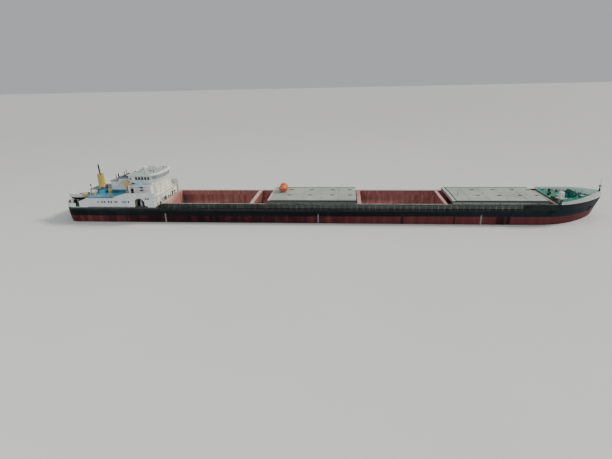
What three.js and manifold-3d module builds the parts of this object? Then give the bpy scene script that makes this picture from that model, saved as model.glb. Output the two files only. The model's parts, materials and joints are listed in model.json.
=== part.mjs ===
// Self-propelled river cargo barge, as a 1:10 model: one metre of the ship is 100 mm here.
// Millimetres. +X points to the bow, +Y to port, +Z up. The origin is on the flat bottom, midway along.
import * as THREE from "three";
import { mergeVertices } from "three/addons/utils/BufferGeometryUtils.js";
import Module from "manifold-3d";

const wasm = await Module();
wasm.setup();

// Driving dimensions of the hull
const halfLength = 6940;
const halfBeam = 820;
const strakeDepth = 15;
const mainDeck = 550;
const quarterDeck = 595;
const forecastleDeck = 695;
const seat = 0.3; // what parts two pieces that rest on each other
const plate = 10; // shell, wall and bulwark plating, with its stiffeners

// Cargo holds and their coaming
const holdHalf = 660;
const tankTop = 90;
const coamingTop = 673;
const holds = [
  // from, to
  [-4180, -1920],
  [-1820, 830],
  [930, 2960],
  [3040, 5560],
];

// Decks of the after house
const boatDeck = 845;
const bridgeDeck = 1120;
const wheelhouseTop = 1385;
const deckPlate = 12;
const houseAft = -6200;

const paint = (color, roughness, metalness = 0) =>
  new THREE.MeshStandardMaterial({ color, roughness, metalness });
const materials = {
  hull: paint(0x1c2226, 0.6),
  strake: paint(0x4a4f50, 0.6),
  forecastle: paint(0x4f9a86, 0.7),
  white: paint(0xd9dcd6, 0.5),
  coaming: paint(0x7b3f40, 0.7),
  cover: paint(0x9fa8a3, 0.6),
  blueDeck: paint(0x3f8fa8, 0.7),
  rail: paint(0xb5bab6, 0.5),
  yellow: paint(0xc9a43c, 0.5),
  black: paint(0x15181a, 0.6),
  orange: paint(0xd9562b, 0.5),
  teal: paint(0x1f7f74, 0.5),
  bronze: paint(0xa9803f, 0.35, 1),
  steel: paint(0x6d7072, 0.5, 0.8),
  glass: paint(0x1b262b, 0.1),
};

// Solids

// A closed geometry as a solid, with its shared vertices merged.
function solid(geometry) {
  const bare = geometry.index ? geometry.toNonIndexed() : geometry.clone();
  for (const name of Object.keys(bare.attributes)) {
    if (name !== "position") bare.deleteAttribute(name);
  }
  const merged = mergeVertices(bare, 1e-3);
  const corners = [];
  for (let i = 0; i < merged.index.count; i += 3) {
    const [a, b, c] = [0, 1, 2].map((k) => merged.index.getX(i + k));
    if (a !== b && b !== c && a !== c) corners.push(a, b, c);
  }
  return new wasm.Manifold(
    new wasm.Mesh({
      numProp: 3,
      vertProperties: new Float32Array(merged.attributes.position.array),
      triVerts: new Uint32Array(corners),
    }),
  );
}

function geometryOf(made) {
  const mesh = made.getMesh();
  const positions = new Float32Array(mesh.numVert * 3);
  for (let i = 0; i < mesh.numVert; i++) {
    const from = i * mesh.numProp;
    positions.set(mesh.vertProperties.subarray(from, from + 3), i * 3);
  }
  const geometry = new THREE.BufferGeometry();
  geometry.setAttribute("position", new THREE.BufferAttribute(positions, 3));
  geometry.setIndex(new THREE.BufferAttribute(new Uint32Array(mesh.triVerts), 1));
  geometry.computeVertexNormals();
  return geometry;
}

const join = (pieces) => pieces.reduce((all, piece) => all.add(piece));
const cut = (body, tools) => tools.reduce((left, tool) => left.subtract(tool), body);

// A box between two corners.
function box(x0, x1, y0, y1, z0, z1) {
  const geometry = new THREE.BoxGeometry(x1 - x0, y1 - y0, z1 - z0);
  return solid(geometry.translate((x0 + x1) / 2, (y0 + y1) / 2, (z0 + z1) / 2));
}

// A cylinder or cone along an axis, from its start point.
function rod(axis, [x, y, z], length, radius, sides = 10, endRadius = radius) {
  const geometry = new THREE.CylinderGeometry(endRadius, radius, length, sides);
  geometry.translate(0, length / 2, 0);
  if (axis === "x") geometry.rotateZ(-Math.PI / 2);
  if (axis === "z") geometry.rotateX(Math.PI / 2);
  return solid(geometry.translate(x, y, z));
}

const shapeOf = (points) => new THREE.Shape(points.map(([a, b]) => new THREE.Vector2(a, b)));

// An outline in plan, raised from z0 to z1.
function slab(points, z0, z1) {
  const geometry = new THREE.ExtrudeGeometry(shapeOf(points), { depth: z1 - z0, bevelEnabled: false });
  return solid(geometry.translate(0, 0, z0));
}

// An outline across the ship, as y and z, drawn out from x0 to x1.
function length(points, x0, x1) {
  const geometry = new THREE.ExtrudeGeometry(shapeOf(points), { depth: x1 - x0, bevelEnabled: false });
  return solid(geometry.rotateX(Math.PI / 2).rotateZ(Math.PI / 2).translate(x0, 0, 0));
}

// An outline seen from the side, as x and z, drawn out from y0 to y1.
function breadth(points, y0, y1) {
  const geometry = new THREE.ExtrudeGeometry(shapeOf(points), { depth: y1 - y0, bevelEnabled: false });
  return solid(geometry.rotateX(Math.PI / 2).translate(0, y1, 0));
}

// A skin over rings of equal count, closed at both ends. Each ring is a list of [x, y, z], and flat drops one
// of them to close an end. The rings run anticlockwise seen against the way that they follow each other.
function loft(rings, flat) {
  const count = rings[0].length;
  const corners = [];
  const push = (...points) => points.forEach((p) => corners.push(...p));
  for (let k = 0; k + 1 < rings.length; k++) {
    for (let i = 0; i < count; i++) {
      const j = (i + 1) % count;
      push(rings[k][i], rings[k][j], rings[k + 1][j]);
      push(rings[k][i], rings[k + 1][j], rings[k + 1][i]);
    }
  }
  const end = (ring, turned) => {
    const contour = ring.map((p) => new THREE.Vector2(p[flat[0]], p[flat[1]]));
    for (const [a, b, c] of THREE.ShapeUtils.triangulateShape(contour, [])) {
      push(ring[a], ring[turned ? c : b], ring[turned ? b : c]);
    }
  };
  end(rings[0], true);
  end(rings[rings.length - 1], false);
  const geometry = new THREE.BufferGeometry();
  geometry.setAttribute("position", new THREE.Float32BufferAttribute(corners, 3));
  return solid(geometry);
}

const inPlan = [0, 1];
const acrossShip = [1, 2];

// The part's tree
const barge = new THREE.Group();

function add(name, made, material, { at = [0, 0, 0], turn = 0, parent = barge } = {}) {
  const mesh = new THREE.Mesh(geometryOf(made), material);
  mesh.name = name;
  mesh.position.set(...at);
  mesh.rotation.z = turn;
  parent.add(mesh);
  return mesh;
}

const sides = [
  ["starboard", -1],
  ["port", 1],
];

// Hull lines

const sternSteps = 6;
const bowSteps = 10;
const sternFullness = 0.78;
// Waterlines from the flat bottom up: height, half breadth, after end, where the stern starts to round, where
// the bow starts to close, stem, and how full the bow is.
const waterlines = [
  { z: 0, half: 710, end: -5400, run: -5200, entry: 4700, stem: 6480, full: 2.0 },
  { z: 15, half: 765, end: -5480, run: -5280, entry: 4740, stem: 6530, full: 2.0 },
  { z: 55, half: 805, end: -5640, run: -5400, entry: 4800, stem: 6600, full: 2.1 },
  { z: 110, half: 820, end: -5920, run: -5600, entry: 4880, stem: 6668, full: 2.2 },
  { z: 150, half: 820, end: -6320, run: -5950, entry: 4940, stem: 6700, full: 2.2 },
  { z: 178, half: 820, end: -6720, run: -6380, entry: 4980, stem: 6724, full: 2.2 },
  { z: 190, half: 820, end: -6870, run: -6550, entry: 4990, stem: 6731, full: 2.2 },
  { z: 300, half: 820, end: -6905, run: -6580, entry: 5110, stem: 6790, full: 2.1 },
  { z: 400, half: 820, end: -6925, run: -6590, entry: 5200, stem: 6822, full: 2.05 },
  { z: mainDeck, half: halfBeam, end: -halfLength, run: -6600, entry: 5300, stem: 6885, full: 1.95 },
];
const deckLine = waterlines[waterlines.length - 1];
const forecastleLine = { ...deckLine, z: forecastleDeck, entry: 5400, stem: halfLength, full: 1.9 };

// Half breadth of a waterline in the bow's entry, where share runs from 0 at its start to 1 at the stem.
const entryHalf = (line, share) => line.half * (1 - share ** line.full);
function halfAt(line, x) {
  if (x <= line.entry) return line.half;
  return entryHalf(line, (x - line.entry) / (line.stem - line.entry));
}

function sternSide(line) {
  return Array.from({ length: sternSteps + 1 }, (_, i) => {
    const t = (i / sternSteps) * (Math.PI / 2);
    const x = line.run + (line.end - line.run) * Math.cos(t) ** sternFullness;
    return [i === sternSteps ? line.run : x, i === 0 ? 0 : line.half * Math.sin(t) ** sternFullness];
  });
}

// Points of one side from x0 to the stem, closer together where the bow curves.
function bowSide(line, x0 = line.entry) {
  const first = (x0 - line.entry) / (line.stem - line.entry);
  return Array.from({ length: bowSteps + 1 }, (_, i) => {
    const share = first + (1 - first) * (i / bowSteps);
    return [line.entry + (line.stem - line.entry) * share, i === bowSteps ? 0 : entryHalf(line, share)];
  });
}

// A whole ring from one side's points, where an end on the centreline is shared.
function bothSides(side, z) {
  const starboard = side.map(([x, y]) => [x, -y, z]);
  const port = side.filter(([, y]) => y > 0).map(([x, y]) => [x, y, z]);
  return [...starboard, ...port.reverse()];
}

// Hull: one decked shell with the holds let in, bollards on its side decks and a skeg under the stern

const shaftHeight = 108;
const shaftOffset = 400;
const tunnelRadius = 112;
const tunnel = [-6700, -6080];
const skeg = { half: 25, from: -6300, to: -5300 };
const sternTube = { from: -5700, to: -6365 };
const rudderStock = -6560;
const rudderTrunkFoot = 204;

function bollardPair(x, y, z) {
  const [gap, radius, height, foot] = [22, 8, 28, 3];
  const posts = [-gap, gap].map((d) => rod("z", [x + d, y, z], height, radius - 1, 6, radius + 1));
  return [box(x - gap - 16, x + gap + 16, y - 12, y + 12, z - 1, z + foot), ...posts];
}

function hullSolid() {
  const shell = loft(
    waterlines.map((line) => bothSides([...sternSide(line), ...bowSide(line)], line.z)),
    inPlan,
  );
  const pockets = holds.map(([from, to]) => box(from, to, -holdHalf, holdHalf, tankTop, mainDeck + 50));
  const tunnels = sides.map(([, s]) =>
    rod("x", [tunnel[0], s * shaftOffset, shaftHeight], tunnel[1] - tunnel[0], tunnelRadius, 20),
  );
  const fin = breadth(
    [
      [skeg.from, 12],
      [skeg.from + 60, 0],
      [skeg.to, 0],
      [skeg.to, 150],
      [skeg.from, 200],
    ],
    -skeg.half,
    skeg.half,
  );
  const bollards = [-3600, -1870, 880, 3000, 4900].flatMap((x) =>
    sides.flatMap(([, s]) => bollardPair(x, s * 755, mainDeck)),
  );
  const shafting = sides.flatMap(([, s]) => [
    rod("x", [sternTube.to, s * shaftOffset, shaftHeight], sternTube.from - sternTube.to, 17, 12),
    box(sternTube.to + 20, sternTube.to + 60, s * shaftOffset - 6, s * shaftOffset + 6, shaftHeight, 230),
    rod("z", [rudderStock, s * shaftOffset, rudderTrunkFoot], 60, 18, 12),
  ]);
  return join([cut(shell, [...pockets, ...tunnels]), fin, ...shafting, ...bollards]);
}
add("hull", hullSolid(), materials.hull);

// Rubbing strake: a half-round bar along each side of the deck's edge
for (const [side, s] of sides) {
  const profile = [
    [halfBeam + seat, 505],
    [halfBeam + strakeDepth, 515],
    [halfBeam + strakeDepth, 530],
    [halfBeam + seat, 540],
  ];
  const bar = length(s > 0 ? profile : profile.map(([y, z]) => [-y, z]).reverse(), -6560, 5150);
  add(`rubbing_strake_${side}`, bar, materials.strake);
}

// Raised quarterdeck, which carries the after house and the stern's mooring gear
const quarterDeckFrom = -4335;

function quarterDeckSolid() {
  const outline = bothSides([...sternSide(deckLine), [quarterDeckFrom, halfBeam]], 0).map(([x, y]) => [x, y]);
  const raised = slab(outline, mainDeck + seat, quarterDeck);
  const bollards = sides.flatMap(([, s]) => bollardPair(-6420, s * 690, quarterDeck));
  return join([raised, ...bollards]);
}
add("quarterdeck", quarterDeckSolid(), materials.hull);

// Forecastle: raised block with flared sides, with its bollards and ventilators
const forecastleFrom = 5650;

function forecastleSolid() {
  const lower = { ...deckLine, entry: 5300 };
  const ring = (line, z) => bothSides(bowSide(line, forecastleFrom), z);
  const block = loft([ring(lower, mainDeck + seat), ring(forecastleLine, forecastleDeck)], inPlan);
  const bollards = sides.flatMap(([, s]) => [
    ...bollardPair(5800, s * 640, forecastleDeck),
    ...bollardPair(6450, s * 290, forecastleDeck),
  ]);
  const vents = [
    [6010, -420],
    [6010, 420],
    [5830, 180],
  ].flatMap(([x, y]) => [
    rod("z", [x, y, forecastleDeck - 1], 46, 11, 10),
    rod("z", [x, y, forecastleDeck + 44], 16, 20, 10, 12),
  ]);
  return join([block, ...bollards, ...vents]);
}
add("forecastle", forecastleSolid(), materials.forecastle);

// Bulwarks: a plate that stands on a deck's edge. outer runs along the edge and inner comes back.
function bulwark(outer, inner, foot, top) {
  const ring = [...outer, ...inner.reverse()];
  return loft([ring.map(([x, y]) => [x, y, foot]), ring.map(([x, y]) => [x, y, top(x)])], inPlan);
}

const bowRise = { foot: 755, rise: 95, within: 0.87, ease: 1.8 };
function bowSheer(x) {
  const share = Math.min(1, (x - forecastleFrom) / (halfLength - forecastleFrom) / bowRise.within);
  return bowRise.foot + bowRise.rise * Math.sin((share * Math.PI) / 2) ** bowRise.ease;
}
function bowBulwarkSolid() {
  const edge = bowSide(forecastleLine, forecastleFrom);
  const inner = edge.map(([x, y], i) => (i < bowSteps ? [x, Math.max(y - plate, 2)] : [x - 22, 0]));
  const outerPath = [...edge.map(([x, y]) => [x, -y]), ...edge.slice(0, -1).reverse()];
  const innerPath = [...inner.map(([x, y]) => [x, -y]), ...inner.slice(0, -1).reverse()];
  return bulwark(outerPath, innerPath, forecastleDeck + seat, bowSheer);
}
add("bow_bulwark", bowBulwarkSolid(), materials.white);

const sideBulwark = { from: 4760, raised: 5060, to: forecastleFrom - seat, low: 572 };
for (const [side, s] of sides) {
  const xs = [4760, 4900, 5060, 5200, 5300, 5400, 5500, 5580, sideBulwark.to];
  const ramp = (x) => Math.min(1, (x - sideBulwark.from) / (sideBulwark.raised - sideBulwark.from));
  const top = (x) => sideBulwark.low + (forecastleDeck - sideBulwark.low) * ramp(x);
  const outer = xs.map((x) => [x, s * (halfAt(deckLine, x) - seat)]);
  const inner = xs.map((x) => [x, s * (halfAt(deckLine, x) - seat - plate)]);
  const [first, second] = s < 0 ? [outer, inner] : [inner, outer];
  const made = bulwark(first, second, mainDeck + seat, top);
  add(`side_bulwark_${side}`, made, materials.hull);
}

// Its sides are open for the mooring lines, and ahead of that they sweep up to the boat deck
const sternBulwark = {
  top: 705,
  from: houseAft - seat,
  ports: [-6526, -6421],
  low: 688,
  high: 838,
  sweep: 2.2,
};
function sternSheer(x) {
  if (x < sternBulwark.ports[1] - 5) return sternBulwark.top;
  const share = Math.max(0, (x - sternBulwark.ports[1]) / (sternBulwark.from - sternBulwark.ports[1]));
  return sternBulwark.low + (sternBulwark.high - sternBulwark.low) * share ** sternBulwark.sweep;
}
function sternBulwarkSolid() {
  const sweep = [-6540, sternBulwark.ports[1], -6350, -6290, -6240].map((x) => [x, halfBeam]);
  const edge = [...sternSide(deckLine), ...sweep, [sternBulwark.from, halfBeam]];
  const starboard = edge.map(([x, y]) => [x, -y]).reverse();
  const outer = [...starboard, ...edge.slice(1)];
  const inner = outer.map(([x, y]) => {
    const aft = Math.max(0, (deckLine.run - x) / (deckLine.run - deckLine.end));
    return [x + plate * 1.3 * aft, y - Math.sign(y) * Math.min(Math.abs(y), plate)];
  });
  const ring = bulwark(outer.reverse(), inner.reverse(), quarterDeck + seat, sternSheer);
  const ports = sides.map(([, s]) => {
    const [y0, y1] = s > 0 ? [500, 900] : [-900, -500];
    return box(...sternBulwark.ports, y0, y1, quarterDeck + 15, sternBulwark.top + 30);
  });
  const staff = rod("z", [-6920, 0, 640], 232, 4, 6);
  const foot = box(-6933, -6912, -6, 6, 640, 660);
  return join([cut(ring, ports), staff, foot]);
}
add("stern_bulwark", sternBulwarkSolid(), materials.white);

// Coaming: one frame round the four holds, with a flange that carries the covers' wheels, and its stays
const coaming = { from: -4260, to: 5640, outer: 680, flange: 706, flangeDepth: 12, stayEvery: 480 };
function coamingSolid() {
  const [from, to, half] = [coaming.from, coaming.to, coaming.outer];
  const frame = box(from, to, -half, half, mainDeck + seat, coamingTop);
  const flange = box(from, to, -coaming.flange, coaming.flange, coamingTop - coaming.flangeDepth, coamingTop);
  const stayProfile = [
    [half - 2, mainDeck + seat],
    [half + 24, mainDeck + seat],
    [coaming.flange - 4, coamingTop - coaming.flangeDepth + 2],
    [half - 2, coamingTop - coaming.flangeDepth + 2],
  ];
  const stays = [];
  for (let x = from + 40; x < to; x += coaming.stayEvery) {
    stays.push(length(stayProfile, x, x + 8));
    stays.push(length(stayProfile.map(([y, z]) => [-y, z]).reverse(), x, x + 8));
  }
  const mouths = holds.map(([x0, x1]) => box(x0, x1, -holdHalf, holdHalf, mainDeck - 50, coamingTop + 50));
  return cut(join([frame, flange, ...stays]), mouths);
}
add("hold_coaming", coamingSolid(), materials.coaming);

// Hatch covers: two sets of two tiers, which roll along the coaming one over the other
const skirtFoot = 680;
const wheelRadius = 9;
const coverSets = [
  // name, from, to, panels
  ["aft", -1450, 800, 5],
  ["fore", 3150, 5400, 5],
];
const tiers = {
  lower: { half: 676, skirt: 8, side: 720, middle: 730, thick: 10, wheel: 669 },
  upper: { half: 697, skirt: 11, side: 757, middle: 770, thick: 12, wheel: 691 },
};

function coverSolid(tier, from, to, panels) {
  const tray = [
    [-tier.half, skirtFoot],
    [-tier.half + tier.skirt, skirtFoot],
    [-tier.half + tier.skirt, tier.side - tier.thick],
    [0, tier.middle - tier.thick],
    [tier.half - tier.skirt, tier.side - tier.thick],
    [tier.half - tier.skirt, skirtFoot],
    [tier.half, skirtFoot],
    [tier.half, tier.side],
    [0, tier.middle],
    [-tier.half, tier.side],
  ];
  const seam = [
    [-tier.half, tier.side - 3],
    [0, tier.middle - 3],
    [tier.half, tier.side - 3],
    [tier.half, tier.side + 4],
    [0, tier.middle + 4],
    [-tier.half, tier.side + 4],
  ];
  const pitch = (to - from) / panels;
  const seams = Array.from({ length: panels - 1 }, (_, i) => {
    const x = from + pitch * (i + 1);
    return length(seam, x - 5, x + 5);
  });
  const wheels = [];
  for (let i = 0; i < panels; i++) {
    for (const s of [-1, 1]) {
      const axle = coamingTop + 0.5 + wheelRadius;
      const x = from + pitch * (i + 0.5);
      wheels.push(rod("y", [x, s * tier.wheel - 4, axle], 8, wheelRadius, 8));
    }
  }
  return join([length(tray, from, to), ...seams, ...wheels]);
}
for (const [name, from, to, panels] of coverSets) {
  add(`cover_${name}_lower`, coverSolid(tiers.lower, from, to, panels), materials.cover);
  add(`cover_${name}_upper`, coverSolid(tiers.upper, from, to, panels), materials.cover);
}

// Orange work boat, set across the after cover on two chocks
const workBoat = { x: -1148, half: 105, from: -20, to: 400, keel: 800, gunwale: 870, top: 985 };
function workBoatSolid() {
  const { x, half, keel, gunwale, top } = workBoat;
  const sections = [
    // y, breadth share, keel rise, canopy share
    [workBoat.from, 0.35, 45, 0.25],
    [25, 0.85, 12, 0.7],
    [120, 1, 0, 1],
    [290, 1, 0, 1],
    [365, 0.8, 12, 0.75],
    [workBoat.to, 0.3, 50, 0.2],
  ];
  const rings = sections.map(([y, broad, rise, tall]) => {
    const roof = gunwale + (top - gunwale) * tall;
    const side = [
      [0, keel + rise],
      [0.75, keel + rise + 25],
      [1, gunwale],
      [0.92, gunwale + (roof - gunwale) * 0.6],
      [0.5, roof],
    ];
    const right = side.map(([share, z]) => [x + half * broad * share, y, z]);
    const left = side.slice(1).map(([share, z]) => [x - half * broad * share, y, z]);
    return [...right, ...left.reverse()];
  });
  return loft(rings.reverse(), [0, 2]);
}
const workBoatHull = workBoatSolid();
add("work_boat", workBoatHull, materials.orange);
const chocks = [60, 300].map((y) => box(workBoat.x - 80, workBoat.x + 80, y, y + 20, 759, 838));
const underBoat = join([workBoatHull, workBoatHull.translate(0, 0, -seat)]);
const coverAft = coverSolid(tiers.upper, ...coverSets[0].slice(1));
const underChock = join([coverAft, coverAft.translate(0, 0, seat)]);
const chockBeam = box(workBoat.x - 60, workBoat.x - 40, 60, 320, 759, 790);
const cradle = cut(join([...chocks, chockBeam]), [underBoat, underChock]);
add("boat_cradle", cradle, materials.steel);

// White tender, which stands fore and aft on two chocks over the stern deck, its bow aft
const tender = { y: -450, half: 85, keel: 700, gunwale: 868, canvas: 14 };
function tenderSolid() {
  const { y, half, keel, gunwale, canvas } = tender;
  const sections = [
    // x, breadth share, keel rise, gunwale rise
    [-6905, 0.1, 158, 42],
    [-6868, 0.5, 80, 30],
    [-6790, 0.88, 18, 12],
    [-6650, 1, 0, 0],
    [-6490, 0.97, 0, 0],
    [-6415, 0.8, 12, 4],
  ];
  const rings = sections.map(([x, broad, rise, sheer]) => {
    const edge = gunwale + sheer;
    const side = [
      [0, keel + rise],
      [0.6, keel + rise + (edge - keel - rise) * 0.14],
      [0.93, keel + rise + (edge - keel - rise) * 0.5],
      [1, edge],
      [0.5, edge + canvas],
    ];
    const port = side.map(([share, z]) => [x, y + half * broad * share, z]);
    const starboard = side.slice(1).map(([share, z]) => [x, y - half * broad * share, z]);
    return [...port, ...starboard.reverse()];
  });
  return loft(rings, acrossShip);
}
const tenderHull = tenderSolid();
add("tender", tenderHull, materials.white);
const tenderChocks = [-6770, -6510].map((x) => box(x, x + 18, -510, -390, quarterDeck + seat, 745));
const tenderBeam = box(-6760, -6500, -456, -444, quarterDeck + seat, 618);
const underTender = join([tenderHull, tenderHull.translate(0, 0, -seat)]);
add("tender_chocks", cut(join([...tenderChocks, tenderBeam]), [underTender]), materials.black);

// Companionway down into the forecastle
add("companionway", box(5672, 5752, -625, -515, forecastleDeck + seat, 950), materials.white);

// Rails: posts and bars along a run of corners in plan
const railBar = 6;
function railing(corners, foot, height, every, bars = 2) {
  const parts = [];
  for (let k = 0; k + 1 < corners.length; k++) {
    const [[x0, y0], [x1, y1]] = [corners[k], corners[k + 1]];
    const run = Math.hypot(x1 - x0, y1 - y0);
    const turned = Math.atan2(y1 - y0, x1 - x0);
    const place = (geometry) => parts.push(solid(geometry.rotateZ(turned).translate(x0, y0, 0)));
    for (let b = 1; b <= bars; b++) {
      const bar = new THREE.BoxGeometry(run + railBar, railBar, railBar);
      place(bar.translate(run / 2, 0, foot + (height * b) / bars));
    }
    const count = Math.max(1, Math.round(run / every));
    for (let i = k ? 1 : 0; i <= count; i++) {
      const post = new THREE.BoxGeometry(railBar, railBar, height);
      place(post.translate((run * i) / count, 0, foot + height / 2));
    }
  }
  return join(parts);
}
for (const [side, s] of sides) {
  const run = [
    [quarterDeckFrom + 20, s * 806],
    [sideBulwark.from - 6, s * 806],
  ];
  add(`deck_rail_${side}`, railing(run, mainDeck + seat, 115, 700), materials.rail);
}

// After house: the lower house runs the full breadth and its plating ends in an arch each side
const lowerHouse = { from: houseAft, step: -4900, to: -4368, wide: 815, narrow: holdHalf };
const lowerWindows = [
  // x, half width
  [-5892, 28],
  [-5783, 20],
  [-5712, 20],
  [-5605, 22],
  [-5532, 22],
  [-5408, 46],
  [-5178, 70],
  [-5064, 18],
];
function lowerHouseSolid() {
  const [z0, z1] = [quarterDeck + seat, boatDeck];
  const { from, step, to, wide, narrow } = lowerHouse;
  const outer = join([box(from, step, -wide, wide, z0, z1), box(step - 20, to, -narrow, narrow, z0, z1)]);
  const inner = join([
    box(from + plate, step - plate, plate - wide, wide - plate, z0 - 5, z1 + 5),
    box(step - 40, to - plate, plate - narrow, narrow - plate, z0 - 5, z1 + 5),
  ]);
  const screens = sides.flatMap(([, s]) => {
    const [y0, y1] = s > 0 ? [wide - plate, wide] : [-wide, plate - wide];
    const arch = breadth(
      [
        [-4885, z0 + 8],
        [-4650, z0 + 8],
        [-4652, 738],
        [-4690, 792],
        [-4750, 822],
        [-4830, 812],
        [-4885, 775],
      ],
      y0 - 5,
      y1 + 5,
    );
    return [cut(box(step - 15, to + 12, y0, y1, z0, z1), [arch])];
  });
  const windows = lowerWindows.map(([x, half]) => box(x - half, x + half, -wide - 5, wide + 5, 707, 768));
  const aftWall = [from - 5, from + plate + 5];
  const aftWindows = [-500, -200, 200, 500].map((y) => box(...aftWall, y - 40, y + 40, 705, 770));
  const aftDoor = box(...aftWall, -35, 35, z0 + 20, z0 + 205);
  const foreDoors = [-400, 400].map((y) => box(to - plate - 5, to + 5, y - 35, y + 35, z0 + 20, z0 + 205));
  const bodywork = cut(outer, [inner, ...windows, ...aftWindows, aftDoor, ...foreDoors]);
  const sill = box(to - 8, to + 12, -wide, wide, z1 - 12, z1);
  return join([bodywork, ...screens, sill]);
}
add("lower_house", lowerHouseSolid(), materials.white);

// Boat deck with the stairs up to it from the stern
const boatDeckTop = boatDeck + seat + deckPlate;
const craneAt = [-5185, -560];
function stairs(x, y, half, foot, head, run, steps) {
  const slope = (head - foot) / run;
  const parts = [-half, half].map((d) =>
    breadth(
      [
        [x - run, foot],
        [x - run + 22, foot],
        [x, head - 22 * slope],
        [x, head],
      ],
      y + d - 3,
      y + d + 3,
    ),
  );
  for (let i = 1; i <= steps; i++) {
    const share = i / (steps + 1);
    const [sx, sz] = [x - run * (1 - share), foot + (head - foot) * share];
    parts.push(box(sx - 4, sx + 18, y - half, y + half, sz - 5, sz - 1));
  }
  return join(parts);
}
function boatDeckSolid() {
  const sheet = box(lowerHouse.from - 14, quarterDeckFrom, -halfBeam, halfBeam, boatDeck + seat, boatDeckTop);
  const flights = [-560, 560].map((y) =>
    stairs(lowerHouse.from - seat, y, 36, quarterDeck + seat, boatDeckTop, 170, 7),
  );
  const crane = rod("z", [...craneAt, boatDeckTop - 2], 142, 28, 12);
  return join([sheet, ...flights, crane]);
}
add("boat_deck", boatDeckSolid(), materials.blueDeck);

for (const [side, s] of sides) {
  const profile = [
    [-5450, boatDeckTop + seat],
    [quarterDeckFrom, boatDeckTop + seat],
    [quarterDeckFrom, 967],
    [-5100, 967],
    [-5450, 866],
  ];
  const [y0, y1] = s > 0 ? [halfBeam - plate, halfBeam] : [-halfBeam, plate - halfBeam];
  add(`boat_deck_bulwark_${side}`, breadth(profile, y0, y1), materials.white);
}
for (const [side, s] of sides) {
  const run = [
    [-5460, s * 808],
    [-6190, s * 808],
    [-6190, s * 608],
  ];
  add(`boat_deck_rail_${side}`, railing(run, boatDeckTop + seat, 105, 250), materials.rail);
}

// Upper house, bridge deck, wheelhouse and its roof
const upperHouse = { from: -5105, to: -4342, half: 650 };
const wheelhouse = { from: -5105, to: -4342, half: 540, sill: 1255, head: 1340 };
const door = { width: 74, height: 190, thick: 8, rise: 8, gap: 5, hingeGap: 0.6 };
const doors = [
  // name, hinge x, wall's outer face, deck
  ["house_door", -4962, upperHouse.half, boatDeckTop],
  ["wheelhouse_door", -5018, wheelhouse.half, bridgeDeck + seat + deckPlate],
];
const doorHole = ([, hinge, face, deck], s) => {
  const [y0, y1] = s > 0 ? [face - plate - 3, face + 3] : [-face - 3, -face + plate + 3];
  const z0 = deck + door.rise;
  const z1 = z0 + door.height + door.gap;
  return box(hinge - door.width - door.gap, hinge + door.hingeGap, y0, y1, z0 - door.gap, z1);
};

// The houses' fronts bow outward: how far back the front stands, at a share of the half breadth.
const frontBow = [
  [0, 0],
  [0.4, 10],
  [0.68, 45],
  [0.86, 98],
  [1, 170],
];
function housePlan(from, to, half) {
  const front = frontBow.map(([share, back]) => [to - back, half * share]);
  const starboard = [[from, -half], ...front.slice(1).reverse().map(([x, y]) => [x, -y])];
  return [...starboard, ...front, [from, half]];
}
const houseBlock = (from, to, half, z0, z1) => slab(housePlan(from, to, half), z0, z1);
const ringWall = (from, to, half, z0, z1, thick = plate) =>
  houseBlock(from, to, half, z0, z1).subtract(
    houseBlock(from + thick, to - thick, half - thick, z0 - 5, z1 + 5),
  );

function upperHouseSolid() {
  const { from, to, half } = upperHouse;
  const vents = [1007, 1087].map((z) => box(-4785, -4700, -half - 5, half + 5, z - 18, z + 18));
  const ring = ringWall(from, to, half, boatDeckTop + seat, bridgeDeck);
  return cut(ring, [...vents, ...sides.map(([, s]) => doorHole(doors[0], s))]);
}
add("upper_house", upperHouseSolid(), materials.white);

const bridgeTop = bridgeDeck + seat + deckPlate;
const wing = { from: -5060, to: -4640, half: 735 };
function bridgeDeckSolid() {
  const main = houseBlock(upperHouse.from, upperHouse.to + 5, upperHouse.half, bridgeDeck + seat, bridgeTop);
  const wings = box(wing.from, wing.to, -wing.half, wing.half, bridgeDeck + seat, bridgeTop);
  const struts = sides.flatMap(([, s]) =>
    [wing.from + 10, wing.to - 22].map((x) => {
      const profile = [
        [s * (upperHouse.half + seat), 1060],
        [s * (upperHouse.half + 70), bridgeDeck + 2],
        [s * (upperHouse.half + seat), bridgeDeck + 2],
      ];
      return length(s > 0 ? profile : profile.reverse(), x, x + 8);
    }),
  );
  return join([main, wings, ...struts]);
}
add("bridge_deck", bridgeDeckSolid(), materials.white);

for (const [side, s] of sides) {
  const run = [
    [upperHouse.from + 8, s * 560],
    [upperHouse.from + 8, s * 640],
    [wing.from + 8, s * 640],
    [wing.from + 8, s * (wing.half - 8)],
    [wing.to - 8, s * (wing.half - 8)],
    [wing.to - 8, s * 640],
    [-4525, s * 640],
  ];
  add(`bridge_rail_${side}`, railing(run, bridgeTop + seat, 100, 180), materials.rail);
}

const paneSpans = (from, to, count, post) => {
  const pitch = (to - from + post) / count;
  return Array.from({ length: count }, (_, i) => [from + i * pitch, from + (i + 1) * pitch - post]);
};
function wheelhouseSolid() {
  const { from, to, half, sill, head } = wheelhouse;
  const side = paneSpans(-4935, -4540, 5, 16).map(([x0, x1]) => box(x0, x1, -half - 5, half + 5, sill, head));
  const front = paneSpans(16 - half, half - 16, 9, 16).map(([y0, y1]) =>
    box(-4515, to + 5, y0, y1, sill, head),
  );
  const back = paneSpans(-400, 400, 5, 60).map(([y0, y1]) =>
    box(from - 5, from + plate + 5, y0, y1, sill, head),
  );
  const holes = sides.map(([, s]) => doorHole(doors[1], s));
  const walls = ringWall(from, to, half, bridgeTop + seat, wheelhouseTop);
  return cut(walls, [...side, ...front, ...back, ...holes]);
}
add("wheelhouse", wheelhouseSolid(), materials.white);

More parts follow.
